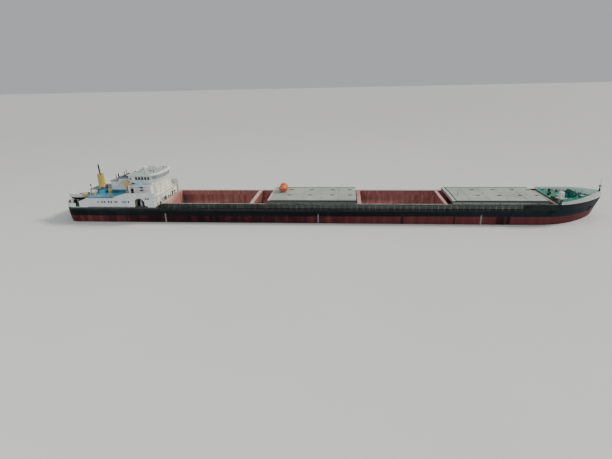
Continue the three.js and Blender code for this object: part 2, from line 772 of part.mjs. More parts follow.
function wheelhouseGlassSolid() {
  const grown = plate + seat;
  const { from, to, half, sill, head } = wheelhouse;
  const [z0, z1] = [sill - 8, head + 8];
  const band = ringWall(from + grown, to - grown, half - grown, z0, z1, 4);
  const doorways = sides.map(([, s]) => doorHole(doors[1], s));
  const doorSide = box(from + plate - 5, -5009, -half, half, z0 - 5, z1 + 5);
  const back = box(from + grown, from + grown + 4, -half + 40, half - 40, z0, z1);
  return cut(band, [doorSide.subtract(back), ...doorways]);
}
const glassBand = wheelhouseGlassSolid().decompose();
glassBand.sort((a, b) => b.volume() - a.volume());
add("wheelhouse_glass", glassBand[0], materials.glass);

const roofTop = wheelhouseTop + seat + deckPlate;
function wheelhouseRoofSolid() {
  const sheet = houseBlock(wheelhouse.from - 20, wheelhouse.to + 25, 580, wheelhouseTop + seat, roofTop);
  const domes = [
    [-5095, 125, 22],
    [-5050, 330, 26],
    [-4660, 260, 20],
  ].flatMap(([x, y, r]) => [
    rod("z", [x, y, roofTop - 2], 24, 8, 8),
    rod("z", [x, y, roofTop + 18], 28, r, 12),
    rod("z", [x, y, roofTop + 45], 14, r, 12, r * 0.55),
  ]);
  const radarPost = rod("z", [-4900, -200, roofTop - 2], 44, 12, 10);
  const lugs = [-11, 11].map((d) => box(-4680, -4652, d - 3, d + 3, roofTop - 2, roofTop + 22));
  return join([sheet, ...domes, radarPost, ...lugs]);
}
add("wheelhouse_roof", wheelhouseRoofSolid(), materials.white);

const radarAt = [-4900, -200, roofTop + 42];
function radarSolid() {
  const hub = rod("z", [0, 0, 0.5], 16, 11, 10);
  const bar = box(-8, 8, -110, 110, 12, 26);
  return join([hub, bar]);
}
add("radar_scanner", radarSolid(), materials.white, { at: radarAt });

const mastPivot = [-4666, 0, roofTop + 13];
function mainMastSolid() {
  const post = rod("z", [0, 0, -8], 130, 6, 8, 4);
  const yard = box(-3, 3, -60, 60, 92, 98);
  const pin = rod("y", [0, -7.5, 0], 15, 5, 8);
  const lamps = [40, 70].map((z) => rod("z", [8, 0, z], 14, 7, 8));
  const arms = [40, 70].map((z) => box(0, 8, -2, 2, z, z + 5));
  return join([post, yard, pin, ...lamps, ...arms]);
}
add("main_mast", mainMastSolid(), materials.white, { at: mastPivot });

for (const [side, s] of sides) {
  for (const [name, hinge, face, deck] of doors) {
    const [near, far] = [3, door.thick + 3];
    const leaf = box(-door.width, 0, s > 0 ? -far : near, s > 0 ? -near : far, 0, door.height);
    const window = box(-door.width + 16, -16, -20, 20, 115, 170);
    const knuckles = [20, 150].flatMap((z) => [
      rod("z", [0, 0, z], 20, 2.7, 6),
      box(-14, 0, s > 0 ? -4 : 1, s > 0 ? -1 : 4, z, z + 20),
    ]);
    const at = [hinge, s * (face + 3), deck + door.rise];
    add(`${name}_${side}`, join([cut(leaf, [window]), ...knuckles]), materials.white, { at });
  }
}

// Casing along the boat deck, the engine casing on it, the funnel and its pipe
const casingTop = 940;
function casingBaseSolid() {
  const block = box(-6175, upperHouse.from - 15, -300, 300, boatDeckTop + seat, casingTop);
  const wingRails = sides.map(([, s]) => {
    const run = [
      [-6170, s * 512],
      [-6170, s * 298],
    ];
    return railing(run, boatDeckTop + seat, 78, 110);
  });
  return join([block, ...wingRails]);
}
add("casing_base", casingBaseSolid(), materials.blueDeck);

function engineCasingSolid() {
  const low = box(-5740, -5400, -300, 300, casingTop + seat, 1175);
  const lowRoof = box(-5755, -5390, -312, 312, 1170, 1187);
  const high = box(-5520, -5235, -300, 300, casingTop + seat, 1252);
  const highRoof = box(-5535, -5222, -312, 312, 1247, 1262);
  const posts = [
    rod("z", [-5740, 0, 1180], 107, 8, 6),
    rod("z", [-5460, 60, 1255], 137, 9, 8),
  ];
  return join([low, lowRoof, high, highRoof, ...posts]);
}
add("engine_casing", engineCasingSolid(), materials.white);

function aftShelterSolid() {
  const roof = box(-6380, -6050, -310, 310, casingTop + seat, casingTop + 12);
  const legs = [-290, 290].map((y) =>
    rod("z", [-6365, y, quarterDeck + seat], casingTop - quarterDeck, 8, 8),
  );
  const vent = box(-6100, -6060, -220, -160, casingTop + 10, casingTop + 50);
  return join([roof, ...legs, vent]);
}
add("aft_shelter", aftShelterSolid(), materials.steel);

const funnel = { x: -6188, foot: casingTop + 12 + seat, top: 1301, radius: 84, flare: 8, flange: 12 };
const funnelFoot = [funnel.x, 0, funnel.foot];
add(
  "funnel",
  join([
    rod("z", funnelFoot, funnel.top - funnel.foot, funnel.radius + funnel.flare, 20, funnel.radius),
    rod("z", funnelFoot, 22, funnel.radius + funnel.flare + funnel.flange, 20),
  ]),
  materials.yellow,
);
function exhaustSolid() {
  const leaning = new THREE.CylinderGeometry(17, 17, 266, 12);
  leaning.rotateX(Math.PI / 2).rotateY(-0.06).translate(funnel.x - 8, 0, funnel.top + seat + 133);
  const foot = rod("z", [funnel.x, 0, funnel.top + seat], 14, 30, 12);
  const trimmed = solid(leaning).subtract(box(-6400, -6000, -100, 100, 1200, funnel.top + seat));
  return join([trimmed, foot]);
}
add("exhaust_pipe", exhaustSolid(), materials.black);

// Cowl ventilators: a stem that turns forward into a flared mouth
const cowls = [
  // name, x, y, height, radius
  ["cowl_large_starboard", -5708, -500, 158, 32],
  ["cowl_large_port", -5708, 500, 158, 32],
  ["cowl_small_starboard", -6110, -560, 82, 20],
  ["cowl_small_port", -6110, 560, 82, 20],
];
for (const [name, x, y, height, radius] of cowls) {
  const stem = rod("z", [0, 0, 0], height - radius, radius, 8);
  const bend = solid(new THREE.SphereGeometry(radius * 1.05, 8, 6).translate(0, 0, height - radius));
  const mouth = rod("x", [0, 0, height - radius], radius * 1.6, radius, 10, radius * 1.55);
  const bore = rod("x", [radius * 0.5, 0, height - radius], radius * 1.2, radius * 0.7, 10, radius * 1.38);
  const at = [x, y, boatDeckTop + seat];
  add(name, cut(join([stem, bend, mouth]), [bore]), materials.yellow, { at });
}

// Deck crane: a column that slews on the pedestal, with its jib stowed aft
const cranePivot = [...craneAt, boatDeckTop + 140 + seat];
function craneSolid() {
  const column = rod("z", [0, 0, 0], 150, 26, 12, 20);
  const jib = breadth(
    [
      [22, 232],
      [-20, 252],
      [-95, 225],
      [-190, 150],
      [-190, 132],
      [-60, 140],
      [-10, 110],
      [22, 120],
    ],
    -18,
    18,
  );
  const hook = rod("z", [-180, 0, 94], 44, 4, 6);
  const drum = rod("y", [8, -19, 70], 38, 22, 12);
  return join([column, jib, hook, drum]);
}
add("crane", craneSolid(), materials.yellow, { at: cranePivot });

// Mooring winch at the stern and windlass at the bow: drums on a shaft between two stands
function winchSolid(half, reach, drumRadius, shaftHeightAbove, drums) {
  const bed = box(-reach, reach, -half, half, 0, 10);
  const stands = [-half + 30, 0, half - 30].map((y) => box(-30, 30, y - 7, y + 7, 5, shaftHeightAbove + 14));
  const shaft = rod("y", [0, -half - 40, shaftHeightAbove], half * 2 + 80, 9, 10);
  const made = [bed, ...stands, shaft];
  for (const y of drums) {
    made.push(rod("y", [0, y - 32, shaftHeightAbove], 64, drumRadius * 0.7, 10));
    for (const d of [-34, 30]) made.push(rod("y", [0, y + d, shaftHeightAbove], 5, drumRadius, 10));
  }
  for (const s of [-1, 1]) made.push(rod("y", [0, s * (half + 24) - 16, shaftHeightAbove], 32, 20, 8));
  made.push(box(drumRadius * 0.6, reach - 4, -45, 45, 5, shaftHeightAbove * 1.2));
  made.push(box(4 - reach, -drumRadius * 0.6, -38, 38, 5, shaftHeightAbove * 0.9));
  return join(made);
}
const winchAt = [-6640, 0, quarterDeck + seat];
const windlassAt = [6185, -20, forecastleDeck + seat];
add("stern_winch", winchSolid(230, 90, 50, 62, [-110, 110]), materials.black, { at: winchAt });
add("windlass", winchSolid(165, 145, 76, 90, [-80, 80]), materials.teal, { at: windlassAt });

// Anchors, hove up to the bow
for (const [side, s] of sides) {
  const shell = loft(
    waterlines.map((line) => bothSides([...sternSide(line), ...bowSide(line)], line.z)),
    inPlan,
  );
  const y = s * 170;
  const [y0, y1] = s > 0 ? [y, y + 75] : [y - 75, y];
  const shank = box(6588, 6604, y0, y1, 425, 500);
  const crown = box(6560, 6632, y0, y1, 405, 428);
  const flukes = [6560, 6618].map((x) => box(x, x + 14, y0, y1, 405, 470));
  const near = join([shell, shell.translate(seat, s * seat, 0)]);
  const outside = shell.translate(30, s * 16, 0);
  const made = cut(join([shank, crown, ...flukes]).intersect(outside), [near]);
  add(`anchor_${side}`, made.decompose().sort((a, b) => b.volume() - a.volume())[0], materials.black);
}

// Fore mast, which folds aft between two cheeks on the stem
const foreMast = { x: 6876, pivot: 900, top: 1207 };
function foreMastFootSolid() {
  const { x, pivot } = foreMast;
  const block = box(x - 16, x + 16, -16, 16, forecastleDeck + seat, pivot - 24);
  const cheeks = [-14, 10].map((y) => box(x - 14, x + 14, y, y + 4, pivot - 40, pivot + 16));
  return join([block, ...cheeks]);
}
add("fore_mast_foot", foreMastFootSolid(), materials.black);
function foreMastSolid() {
  const post = rod("z", [0, 0, -15], foreMast.top - foreMast.pivot + 15, 8, 8, 4);
  const pin = rod("y", [0, -9.5, 0], 19, 6, 8);
  const lamp = rod("z", [0, 0, 70], 30, 14, 8);
  return join([post, pin, lamp]);
}
add("fore_mast", foreMastSolid(), materials.white, { at: [foreMast.x, 0, foreMast.pivot] });

// Propellers and rudders, one each side
const propeller = { x: -6400, radius: 92, hub: 20, blades: 4 };
function propellerSolid(hand) {
  const hub = rod("x", [-42, 0, 0], 76.6, 12, 12, propeller.hub);
  const made = [hub];
  for (let i = 0; i < propeller.blades; i++) {
    const outline = [
      [-14, 8],
      [-34, 45],
      [-30, 78],
      [0, propeller.radius],
      [30, 78],
      [34, 45],
      [14, 8],
    ];
    const blade = new THREE.ExtrudeGeometry(shapeOf(outline), { depth: 5, bevelEnabled: false });
    blade.translate(0, 0, -2.5).rotateX(Math.PI / 2).rotateZ((hand * 35 * Math.PI) / 180);
    made.push(solid(blade.rotateX((i * Math.PI) / 2)));
  }
  return join(made);
}
for (const [side, s] of sides) {
  const at = [propeller.x, s * shaftOffset, shaftHeight];
  add(`propeller_${side}`, propellerSolid(s), materials.bronze, { at });
}
const rudder = { fore: 26, aft: 78, foot: 18, head: 172 };
for (const [side, s] of sides) {
  const foil = slab(
    [
      [rudder.fore, 0],
      [14, 12],
      [-20, 12],
      [-rudder.aft, 2],
      [-rudder.aft, -2],
      [-20, -12],
      [14, -12],
    ].reverse(),
    rudder.foot,
    rudder.head,
  );
  const stock = rod("z", [0, 0, rudder.head - 2], rudderTrunkFoot - rudder.head + 2 - seat, 9, 10);
  add(`rudder_${side}`, join([foil, stock]), materials.hull, { at: [rudderStock, s * shaftOffset, 0] });
}

export default barge;
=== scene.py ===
import copy
import json
import math

import bmesh
import bpy
from mathutils import Matrix, Vector

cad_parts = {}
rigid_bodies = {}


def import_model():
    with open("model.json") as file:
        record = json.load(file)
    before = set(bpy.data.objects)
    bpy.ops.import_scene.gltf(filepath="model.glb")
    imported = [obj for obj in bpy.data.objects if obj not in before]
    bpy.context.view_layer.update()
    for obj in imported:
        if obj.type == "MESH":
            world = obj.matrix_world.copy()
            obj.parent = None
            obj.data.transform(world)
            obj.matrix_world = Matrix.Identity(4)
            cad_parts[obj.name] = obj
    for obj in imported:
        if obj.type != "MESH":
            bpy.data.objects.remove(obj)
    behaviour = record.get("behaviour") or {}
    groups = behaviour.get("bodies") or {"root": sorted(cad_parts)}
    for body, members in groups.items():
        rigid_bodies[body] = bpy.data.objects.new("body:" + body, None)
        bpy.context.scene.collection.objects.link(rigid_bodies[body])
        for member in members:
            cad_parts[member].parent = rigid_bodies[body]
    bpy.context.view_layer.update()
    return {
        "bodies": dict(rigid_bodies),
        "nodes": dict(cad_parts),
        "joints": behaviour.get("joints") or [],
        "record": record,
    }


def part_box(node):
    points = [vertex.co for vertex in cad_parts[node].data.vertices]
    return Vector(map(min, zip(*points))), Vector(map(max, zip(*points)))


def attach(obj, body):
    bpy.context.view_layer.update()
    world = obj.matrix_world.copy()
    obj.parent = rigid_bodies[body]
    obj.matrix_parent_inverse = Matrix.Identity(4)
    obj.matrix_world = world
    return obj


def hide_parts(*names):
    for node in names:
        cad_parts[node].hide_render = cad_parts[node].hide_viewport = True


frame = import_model()
mm = 0.001  # fittings are written in millimetres, materials in metres
waterline = 0.197
sides = (("starboard", -1), ("port", 1))
decks = {"main": 550.3, "quarter": 595, "forecastle": 695, "boat": 857.3, "bridge": 1132.3, "roof": 1397.3}
print("frame loaded:", len(frame["nodes"]), "nodes")


# Camera and light

cameraSettings = {
    "place": (0.499, -10.951, 3.665),
    "turn": (-5.43, 19.66, -1.31),  # yaw, pitch and roll in degrees
    "sensor": 36.0,
    "lens": 24.94,
}


def makeCamera(settings):
    yaw, pitch, roll = map(math.radians, settings["turn"])
    ahead = Vector((math.sin(yaw) * math.cos(pitch), math.cos(yaw) * math.cos(pitch), -math.sin(pitch)))
    level = Vector((math.cos(yaw), -math.sin(yaw), 0))
    upright = level.cross(ahead)
    right = level * math.cos(roll) + upright * math.sin(roll)
    up = upright * math.cos(roll) - level * math.sin(roll)
    data = bpy.data.cameras.new("camera")
    data.sensor_width, data.lens, data.clip_end = settings["sensor"], settings["lens"], 400
    camera = bpy.data.objects.new("camera", data)
    turned = Matrix((right, up, -ahead)).transposed().to_4x4()
    camera.matrix_world = Matrix.Translation(settings["place"]) @ turned
    bpy.context.collection.objects.link(camera)
    bpy.context.scene.camera = camera


lightSettings = {
    "sky": (0.86, 0.9, 0.94),
    "skyStrength": 0.5,
    "lamps": (
        # name, kind, from, strength, angle or size, colour
        ("key", "SUN", (16, 6, 13), 3.0, math.radians(14), (1.0, 0.95, 0.86)),
        ("fill", "AREA", (-8, -18, 10), 1300, 12, (0.9, 0.95, 1.0)),
        ("top", "AREA", (0, 0, 18), 500, 14, (1.0, 1.0, 1.0)),
    ),
}


def makeLights(settings):
    world = bpy.data.worlds.new("studio")
    world.use_nodes = True
    sky = world.node_tree.nodes["Background"].inputs
    sky["Color"].default_value = (*settings["sky"], 1)
    sky["Strength"].default_value = settings["skyStrength"]
    bpy.context.scene.world = world
    for name, kind, place, strength, spread, colour in settings["lamps"]:
        data = bpy.data.lights.new(name, kind)
        data.energy, data.color = strength, colour
        setattr(data, "angle" if kind == "SUN" else "size", spread)
        lamp = bpy.data.objects.new(name, data)
        lamp.location = place
        lamp.rotation_mode = "QUATERNION"
        lamp.rotation_quaternion = Vector(place).to_track_quat("Z", "Y")
        bpy.context.collection.objects.link(lamp)


makeCamera(cameraSettings)
makeLights(lightSettings)
print("camera and lights set")


# Node trees in calls and plain arithmetic, for materials and for geometry

class Field:  # one output of a node
    def __init__(self, net, socket):
        self.net, self.socket = net, socket

    def __add__(self, other):
        return self.net.math("ADD", self, other)

    def __sub__(self, other):
        return self.net.math("SUBTRACT", self, other)

    def __rsub__(self, other):
        return self.net.math("SUBTRACT", other, self)

    def __mul__(self, other):
        return self.net.math("MULTIPLY", self, other)

    def __truediv__(self, other):
        return self.net.math("DIVIDE", self, other)

    def __abs__(self):
        return self.net.math("ABSOLUTE", self)

    def ramp(self, low, high):  # 0 at low, 1 at high, held flat past both
        return self.net.node("MapRange", Value=self, FromMin=low, FromMax=high)[0]

    def between(self, low, high, soft=0.002):
        return self.ramp(low - soft, low) * self.ramp(high + soft, high)


class Net:
    def feed(self, socket, value):
        if isinstance(value, Field):
            self.tree.links.new(value.socket, socket)
        elif socket.type == "RGBA":
            socket.default_value = (*value, 1)
        else:
            socket.default_value = value

    def node(self, kind, modes=None, **inputs):  # an input's name is written without its spaces
        node = self.tree.nodes.new(kind if "Node" in kind else self.family + kind)
        for key, value in (modes or {}).items():
            setattr(node, key, value)
        named = {socket.name.replace(" ", ""): socket for socket in reversed(node.inputs) if socket.enabled}
        for key, value in inputs.items():
            self.feed(named[key], value)
        return [Field(self, socket) for socket in node.outputs if socket.enabled]

    def math(self, operation, first, second=0.0):
        node = self.tree.nodes.new("ShaderNodeMath")
        node.operation = operation
        self.feed(node.inputs[0], first)
        self.feed(node.inputs[1], second)
        return Field(self, node.outputs[0])


class Graph(Net):  # a material on Object coordinates
    family = "ShaderNode"

    def __init__(self, name):
        self.material = bpy.data.materials.new(name)
        self.material.use_nodes = True
        self.tree = self.material.node_tree
        self.place = self.node("TexCoord")[3]
        self.x, self.y, self.z = self.node("SeparateXYZ", Vector=self.place)

    def facing(self):  # how far the surface looks along x, y and z
        return self.node("SeparateXYZ", Vector=self.node("NewGeometry")[1])

    def mix(self, mask, under, over):
        return self.node("Mix", {"data_type": "RGBA"}, Factor=mask, A=under, B=over)[0]

    def noise(self, scale, detail, stretch=None):
        place = self.node("Mapping", Vector=self.place, Scale=stretch)[0] if stretch else self.place
        return self.node("TexNoise", Vector=place, Scale=scale, Detail=detail)[0]

    def seams(self, along, up, long, tall, line=0.004):  # plate seams, dark where two plates meet
        place = self.node("CombineXYZ", X=along, Y=up)[0]
        return self.node("TexBrick", Vector=place, Color1=(1, 1, 1), Color2=(1, 1, 1), Mortar=(0, 0, 0),
            Scale=1, MortarSize=line, BrickWidth=long, RowHeight=tall)[0]

    def bump(self, height, strength, distance, under=None):
        more = {"Normal": under} if under else {}
        return self.node("Bump", Height=height, Strength=strength, Distance=distance, **more)[0]

    def finish(self, color, rough, metal=0.0, normal=None, specular=0.5):
        shader = self.tree.nodes["Principled BSDF"].inputs
        shader["Specular IOR Level"].default_value = specular
        self.feed(shader["Base Color"], color)
        self.feed(shader["Roughness"], rough)
        self.feed(shader["Metallic"], metal)
        if normal:
            self.feed(shader["Normal"], normal)
        return self.material


# Finishes: one recipe for weathered paint, one for two colours that meet, and one for each special surface

rust = (0.16, 0.055, 0.025)
grime = (0.06, 0.055, 0.045)
deckGreen = ((0.03, 0.165, 0.125), (0.075, 0.28, 0.215))
deckBlue = ((0.045, 0.23, 0.34), (0.08, 0.33, 0.45))


def weathered(name, color, tone, rough=0.5, grain=1.0, streaks=0.35, rusting=0.2, metal=0.0, plates=None,
        dirt=grime, specular=0.5, front=None):
    g = Graph(name)
    broad, fine = g.noise(1.6 * grain, 3), g.noise(22 * grain, 5)
    paint = g.mix(broad.ramp(0.35, 0.68), color, tone)
    runs = g.noise(1.0, 5, (16 * grain, 16 * grain, 1.3 * grain))
    if front:  # faces towards the bow are painted sunlit, creamier below the bridge, in streaks
        tall = g.mix(g.z.ramp(1.11, 1.18), *front)
        paint = g.mix(g.facing()[0].ramp(0.2, 0.6) * runs.ramp(0.66, 0.46), paint, tall)
    paint = g.mix(runs.ramp(0.5, 0.72) * streaks, paint, dirt)
    paint = g.mix(fine.ramp(0.6, 0.72) * broad.ramp(0.45, 0.7) * rusting, paint, rust)
    normal = g.bump(fine * 0.4 + broad, 0.25, 0.004)
    if plates:
        seam = g.seams(g.x + g.y, g.z, *plates)
        normal = g.bump(seam, 0.5, 0.003, normal)
        paint = g.mix((1.0 - seam) * 0.35, paint, dirt)
    return g.finish(paint, fine * 0.22 + (rough - 0.1), metal, normal, specular)


hullSettings = {
    "paintLine": (0.372, 0.398),  # aft and forward
    "topside": (0.003, 0.005, 0.0055),
    "topsideWorn": (0.01, 0.014, 0.014),
    # the fore topside colour is painted light on the bow half
    "topsideFore": (0.012, 0.02, 0.027),
    "boot": (0.06, 0.009, 0.014),
    # the worn boot colour serves both for wear and for painted light towards the bow
    "bootWorn": (0.14, 0.036, 0.038),
    # the aft boot colour is painted shade, laid over the boot's after part
    "bootAft": (0.012, 0.001, 0.004),
    "under": (0.085, 0.03, 0.022),
    "growth": (0.05, 0.06, 0.03),
    "deck": (0.022, 0.032, 0.03),
    "hold": (0.26, 0.08, 0.072),
    "holdWorn": (0.36, 0.15, 0.13),
    # the aft bulkhead colour is painted sunlight on the first hold's aft bulkhead
    "holdEnd": (0.46, 0.2, 0.17),
    "stain": (0.34, 0.3, 0.26),
    "stains": (-4.12, -0.15, 3.82),
    "darkRuns": ((-1.62, 0.022), (1.93, 0.022), (3.18, 0.014), (4.27, 0.075), (4.46, 0.03)),  # x, width
    "holdHalf": 0.662,
    "holdFloor": 0.088,
    "aftBulkhead": -4.178,
}


def hullPaint(s):
    g = Graph("hullPaint")
    x, y, z = g.x, g.y, g.z
    broad, fine = g.noise(0.9, 3), g.noise(14, 6)
    runs, scuffs = g.noise(1.0, 5, (9, 9, 0.5)), g.noise(1.0, 5, (0.7, 2, 26))
    topside = g.mix((scuffs * runs).ramp(0.25, 0.42), s["topside"], s["topsideWorn"])
    # painted light: the topside paler towards the bow, where more light falls
    topside = g.mix(x.ramp(1.5, 4.5) * 0.8, topside, s["topsideFore"])
    boot = g.mix(runs.ramp(0.42, 0.68), s["boot"], s["bootWorn"])
    # painted shade: the boot darker along its after part, easing off again at the stern
    dark = g.mix(runs.ramp(0.45, 0.75), s["bootAft"], s["boot"])
    boot = g.mix(x.ramp(0.5, -3.0) * x.ramp(-6.3, -4.6), boot, dark)
    # painted light: the boot paler towards the bow, where more light falls
    boot = g.mix(x.ramp(-0.5, 3.0) * 0.6, boot, s["bootWorn"])
    boot = g.mix(fine.ramp(0.6, 0.8), boot, s["bootWorn"])
    boot = g.mix((z + fine * 0.02).ramp(waterline + 0.035, waterline + 0.005), boot, s["growth"])
    boot = g.mix(z.ramp(waterline - 0.01, waterline - 0.03), boot, g.mix(broad, s["under"], s["growth"]))
    low, high = s["paintLine"]
    edge = z + (fine - 0.5) * 0.006 - x.ramp(-1.0, 3.0) * (high - low)
    side = g.mix(edge.ramp(low - 0.001, low + 0.001), boot, topside)

    def runDown(under, colour, place, wide, top, share):  # a stain from a scupper down the starboard side
        width = runs * (wide * 2) + wide
        mask = (width - abs(x - place)).ramp(0.0, wide) * z.ramp(top, top - 0.06) * y.ramp(0, -0.1)
        return g.mix(mask * share, under, colour)

    for place in s["stains"]:
        side = runDown(side, s["stain"], place, 0.011, 0.46, 0.7)
    for place, wide in s["darkRuns"]:
        side = runDown(side, s["topside"], place, wide, 0.44, 0.8)
    hold = g.mix(runs.ramp(0.4, 0.62), s["hold"], s["holdWorn"])
    hold = g.mix(fine.ramp(0.5, 0.75) * 0.6, hold, rust)
    # painted shade: the hold walls darker just forward of the first hold's aft bulkhead
    hold = g.mix(x.ramp(-3.85, -4.1) * 0.6, hold, grime)
    # painted light: the first hold's aft bulkhead in a lighter salmon, where the sun falls on it
    hold = g.mix(x.ramp(s["aftBulkhead"] + 0.012, s["aftBulkhead"]), hold, s["holdEnd"])
    half, floor = s["holdHalf"], s["holdFloor"]
    inHold = abs(y).ramp(half + 0.002, half) * z.ramp(floor - 0.002, floor) * x.between(-4.19, 5.57)
    deck = g.mix(fine.ramp(0.45, 0.75), s["deck"], grime)
    paint = g.mix(z.ramp(0.5485, 0.5495), side, deck)
    normal = g.bump(fine * 0.35 + broad, 0.3, 0.008)
    normal = g.bump(g.seams(x, z, 0.8, 0.15, 0.003), 0.5, 0.004, normal)
    return g.finish(g.mix(inHold, paint, hold), fine * 0.3 + 0.42, 0.0, normal, 0.12)


coamingSettings = {
    "sideAft": (0.004, 0.008, 0.007),
    # the fore side colour is painted light on the bow half
    "sideFore": (0.035, 0.052, 0.047),
    "edge": (0.26, 0.28, 0.25),
    "inside": (0.26, 0.08, 0.072),
    "insideWorn": (0.36, 0.15, 0.13),
    "beam": (0.42, 0.2, 0.17),
    "beamWorn": (0.56, 0.42, 0.38),
    "beamFore": (0.26, 0.24, 0.21),
    "inner": 0.66,
    "top": 0.655,
    "aftEnd": -4.17,
}


def coamingPaint(s):
    g = Graph("coamingPaint")
    broad, fine, runs = g.noise(1.4, 3), g.noise(26, 6), g.noise(1.0, 5, (26, 26, 2))
    # painted light: the coaming's outer side paler towards the bow, where more light falls
    side = g.mix(g.x.ramp(-1.6, 1.2), s["sideAft"], s["sideFore"])
    side = g.mix(runs.ramp(0.5, 0.7) * 0.6, side, grime)
    side = g.mix(fine.ramp(0.58, 0.74) * 0.7, side, rust)
    edge = g.mix(fine.ramp(0.4, 0.7), s["edge"], grime)
    side = g.mix(g.z.ramp(s["top"], s["top"] + 0.006), side, edge)
    beam = g.mix(broad.ramp(0.35, 0.65), s["beam"], s["beamWorn"])
    beam = g.mix(fine.ramp(0.55, 0.7) * 0.7, beam, rust)
    inside = g.mix(runs.ramp(0.4, 0.62), s["inside"], s["insideWorn"])
    # painted light: the coaming's aft end takes the light beam colour, where the sun falls on it
    plain = g.math("MAXIMUM", g.facing()[2].ramp(0.4, 0.6), g.x.ramp(s["aftEnd"], s["aftEnd"] - 0.01))
    beam = g.mix(g.x.ramp(5.5, 5.6), beam, s["beamFore"])
    beam = g.mix(plain, inside, beam)
    away, inner = abs(g.y), s["inner"]
    side = g.mix(away.ramp(inner + 0.004, inner + 0.002), side, inside)
    paint = g.mix(away.ramp(inner - 0.001, inner - 0.003), side, beam)
    return g.finish(paint, fine * 0.3 + 0.42, 0.0, g.bump(fine + runs, 0.3, 0.003))


coverSettings = {
    "top": (0.37, 0.4, 0.345),
    "topWorn": (0.3, 0.33, 0.285),
    # the skirt colour is painted shade on the covers' side faces
    "skirt": (0.012, 0.02, 0.017),
    "skirtLow": (0.27, 0.31, 0.275),
    "end": (0.5, 0.37, 0.33),
    "endLow": (0.1, 0.085, 0.075),
    "line": (0.5, 0.53, 0.5),
    "edgeStrip": 0.645,
    "aftStrips": (
        # forward edge, width, colour
        (-1.385, 0.07, (0.5, 0.37, 0.33)),
        (3.215, 0.07, (0.4, 0.46, 0.42)),
        # a dark line painted across the top as the shadow at the gap between the tiers
        (3.25, 0.033, (0.02, 0.03, 0.026)),
    ),
}


def coverPaint(s):
    g = Graph("coverPaint")
    lookX, lookY, lookZ = g.facing()
    broad, fine, runs = g.noise(1.3, 4), g.noise(30, 5), g.noise(1.0, 5, (1.2, 14, 14))
    top = g.mix(broad.ramp(0.35, 0.65), s["top"], s["topWorn"])
    top = g.mix(runs.ramp(0.52, 0.7) * 0.3, top, grime)
    top = g.mix(fine.ramp(0.62, 0.75) * 0.4, top, rust)
    top = g.mix(abs(g.y - 0.12).ramp(0.008, 0.004) * 0.6, top, s["line"])
    low = g.z.ramp(0.742, 0.7) * (g.x.ramp(1.0, 3.2) * 0.65 + 0.35)
    skirt = g.mix(low, s["skirt"], s["skirtLow"])
    skirt = g.mix(fine.ramp(0.5, 0.7) * 0.6, skirt, grime)
    # painted shade: the dark skirt colour carried onto the top along both long edges
    top = g.mix(abs(g.y).ramp(s["edgeStrip"], s["edgeStrip"] + 0.003) * 0.85, top, s["skirt"])
    end = g.mix(g.z.ramp(0.706, 0.7), s["end"], s["endLow"])
    end = g.mix(fine.ramp(0.55, 0.7) * 0.5, end, rust)
    for edge, wide, colour in s["aftStrips"]:
        top = g.mix(g.x.between(edge - wide, edge), top, colour)
    # painted shade: faces that do not look up take the dark skirt colour
    paint = g.mix(lookZ.ramp(0.4, 0.6), skirt, top)
    paint = g.mix(abs(lookX).ramp(0.4, 0.6), paint, end)
    return g.finish(paint, fine * 0.25 + 0.4, 0.0, g.bump(fine * 0.4 + runs, 0.25, 0.003))


def twoTone(name, low, high, mask):  # one colour giving way to another where the mask is 1: a second paint, and on the deck rails painted shade giving way to painted light
    g = Graph(name)
    fine, broad = g.noise(24, 6), g.noise(2.2, 3)
    paint = g.mix(mask(g), *(g.mix(broad.ramp(0.35, 0.65), *pair) for pair in (low, high)))
    paint = g.mix(fine.ramp(0.56, 0.72) * 0.35, paint, grime)
    return g.finish(paint, fine * 0.25 + 0.42, 0.0, g.bump(fine + broad, 0.3, 0.003))


def foredeckPaint(green, side):  # green deck on a block whose sides go on in the hull's black
    g = Graph("foredeckPaint")
    fine, broad = g.noise(24, 6), g.noise(2.2, 3)
    top = g.mix(broad.ramp(0.35, 0.65), *green)
    top = g.mix(fine.ramp(0.52, 0.7) * 0.5, top, grime)
    level = decks["forecastle"] * mm
    paint = g.mix(g.z.ramp(level - 0.0015, level - 0.0005), side, top)
    return g.finish(paint, fine * 0.25 + 0.45, 0.0, g.bump(fine + broad, 0.3, 0.003), 0.15)


def glassPane(name, low, high):
    g = Graph(name)
    return g.finish(g.mix(g.noise(3, 2), low, high), g.noise(30, 2) * 0.06 + 0.05, specular=0.8)


twoTones = {
    # name: colours of the first tone, of the second, where the second shows
    # bow bulwark: the pale mint of the inner faces is raised as painted light against their shade; the outer
    # faces are white
    "bowBulwark": (((0.8, 0.88, 0.82), (0.62, 0.72, 0.66)), ((0.64, 0.66, 0.62), (0.5, 0.53, 0.5)),
        lambda g: (g.y * g.facing()[1]).ramp(0.0, 0.01)),
    "hood": (deckGreen, ((0.68, 0.7, 0.68), (0.54, 0.57, 0.56)), lambda g: g.z.ramp(0.785, 0.787)),
    "boatDeck": (deckBlue, ((0.62, 0.63, 0.58), (0.5, 0.51, 0.47)),
        lambda g: g.math("MAXIMUM", g.x.ramp(-5.16, -5.15), g.z.ramp(0.8567, 0.856))),
    "casingBase": (((0.02, 0.12, 0.17), (0.03, 0.17, 0.23)), ((0.05, 0.26, 0.36), (0.08, 0.33, 0.45)),
        lambda g: g.z.ramp(0.938, 0.939)),
    "tenderPaint": (((0.008, 0.009, 0.01), (0.02, 0.02, 0.02)), ((0.66, 0.68, 0.66), (0.5, 0.52, 0.5)),
        lambda g: g.z.ramp(0.785, 0.787)),
    # deck rails: dark aft and pale forward, as painted shade and light along the length
    "deckRail": (((0.05, 0.075, 0.058), (0.2, 0.24, 0.2)), ((0.26, 0.3, 0.26), (0.4, 0.43, 0.39)),
        lambda g: g.x.ramp(-2.5, 1.5)),
}
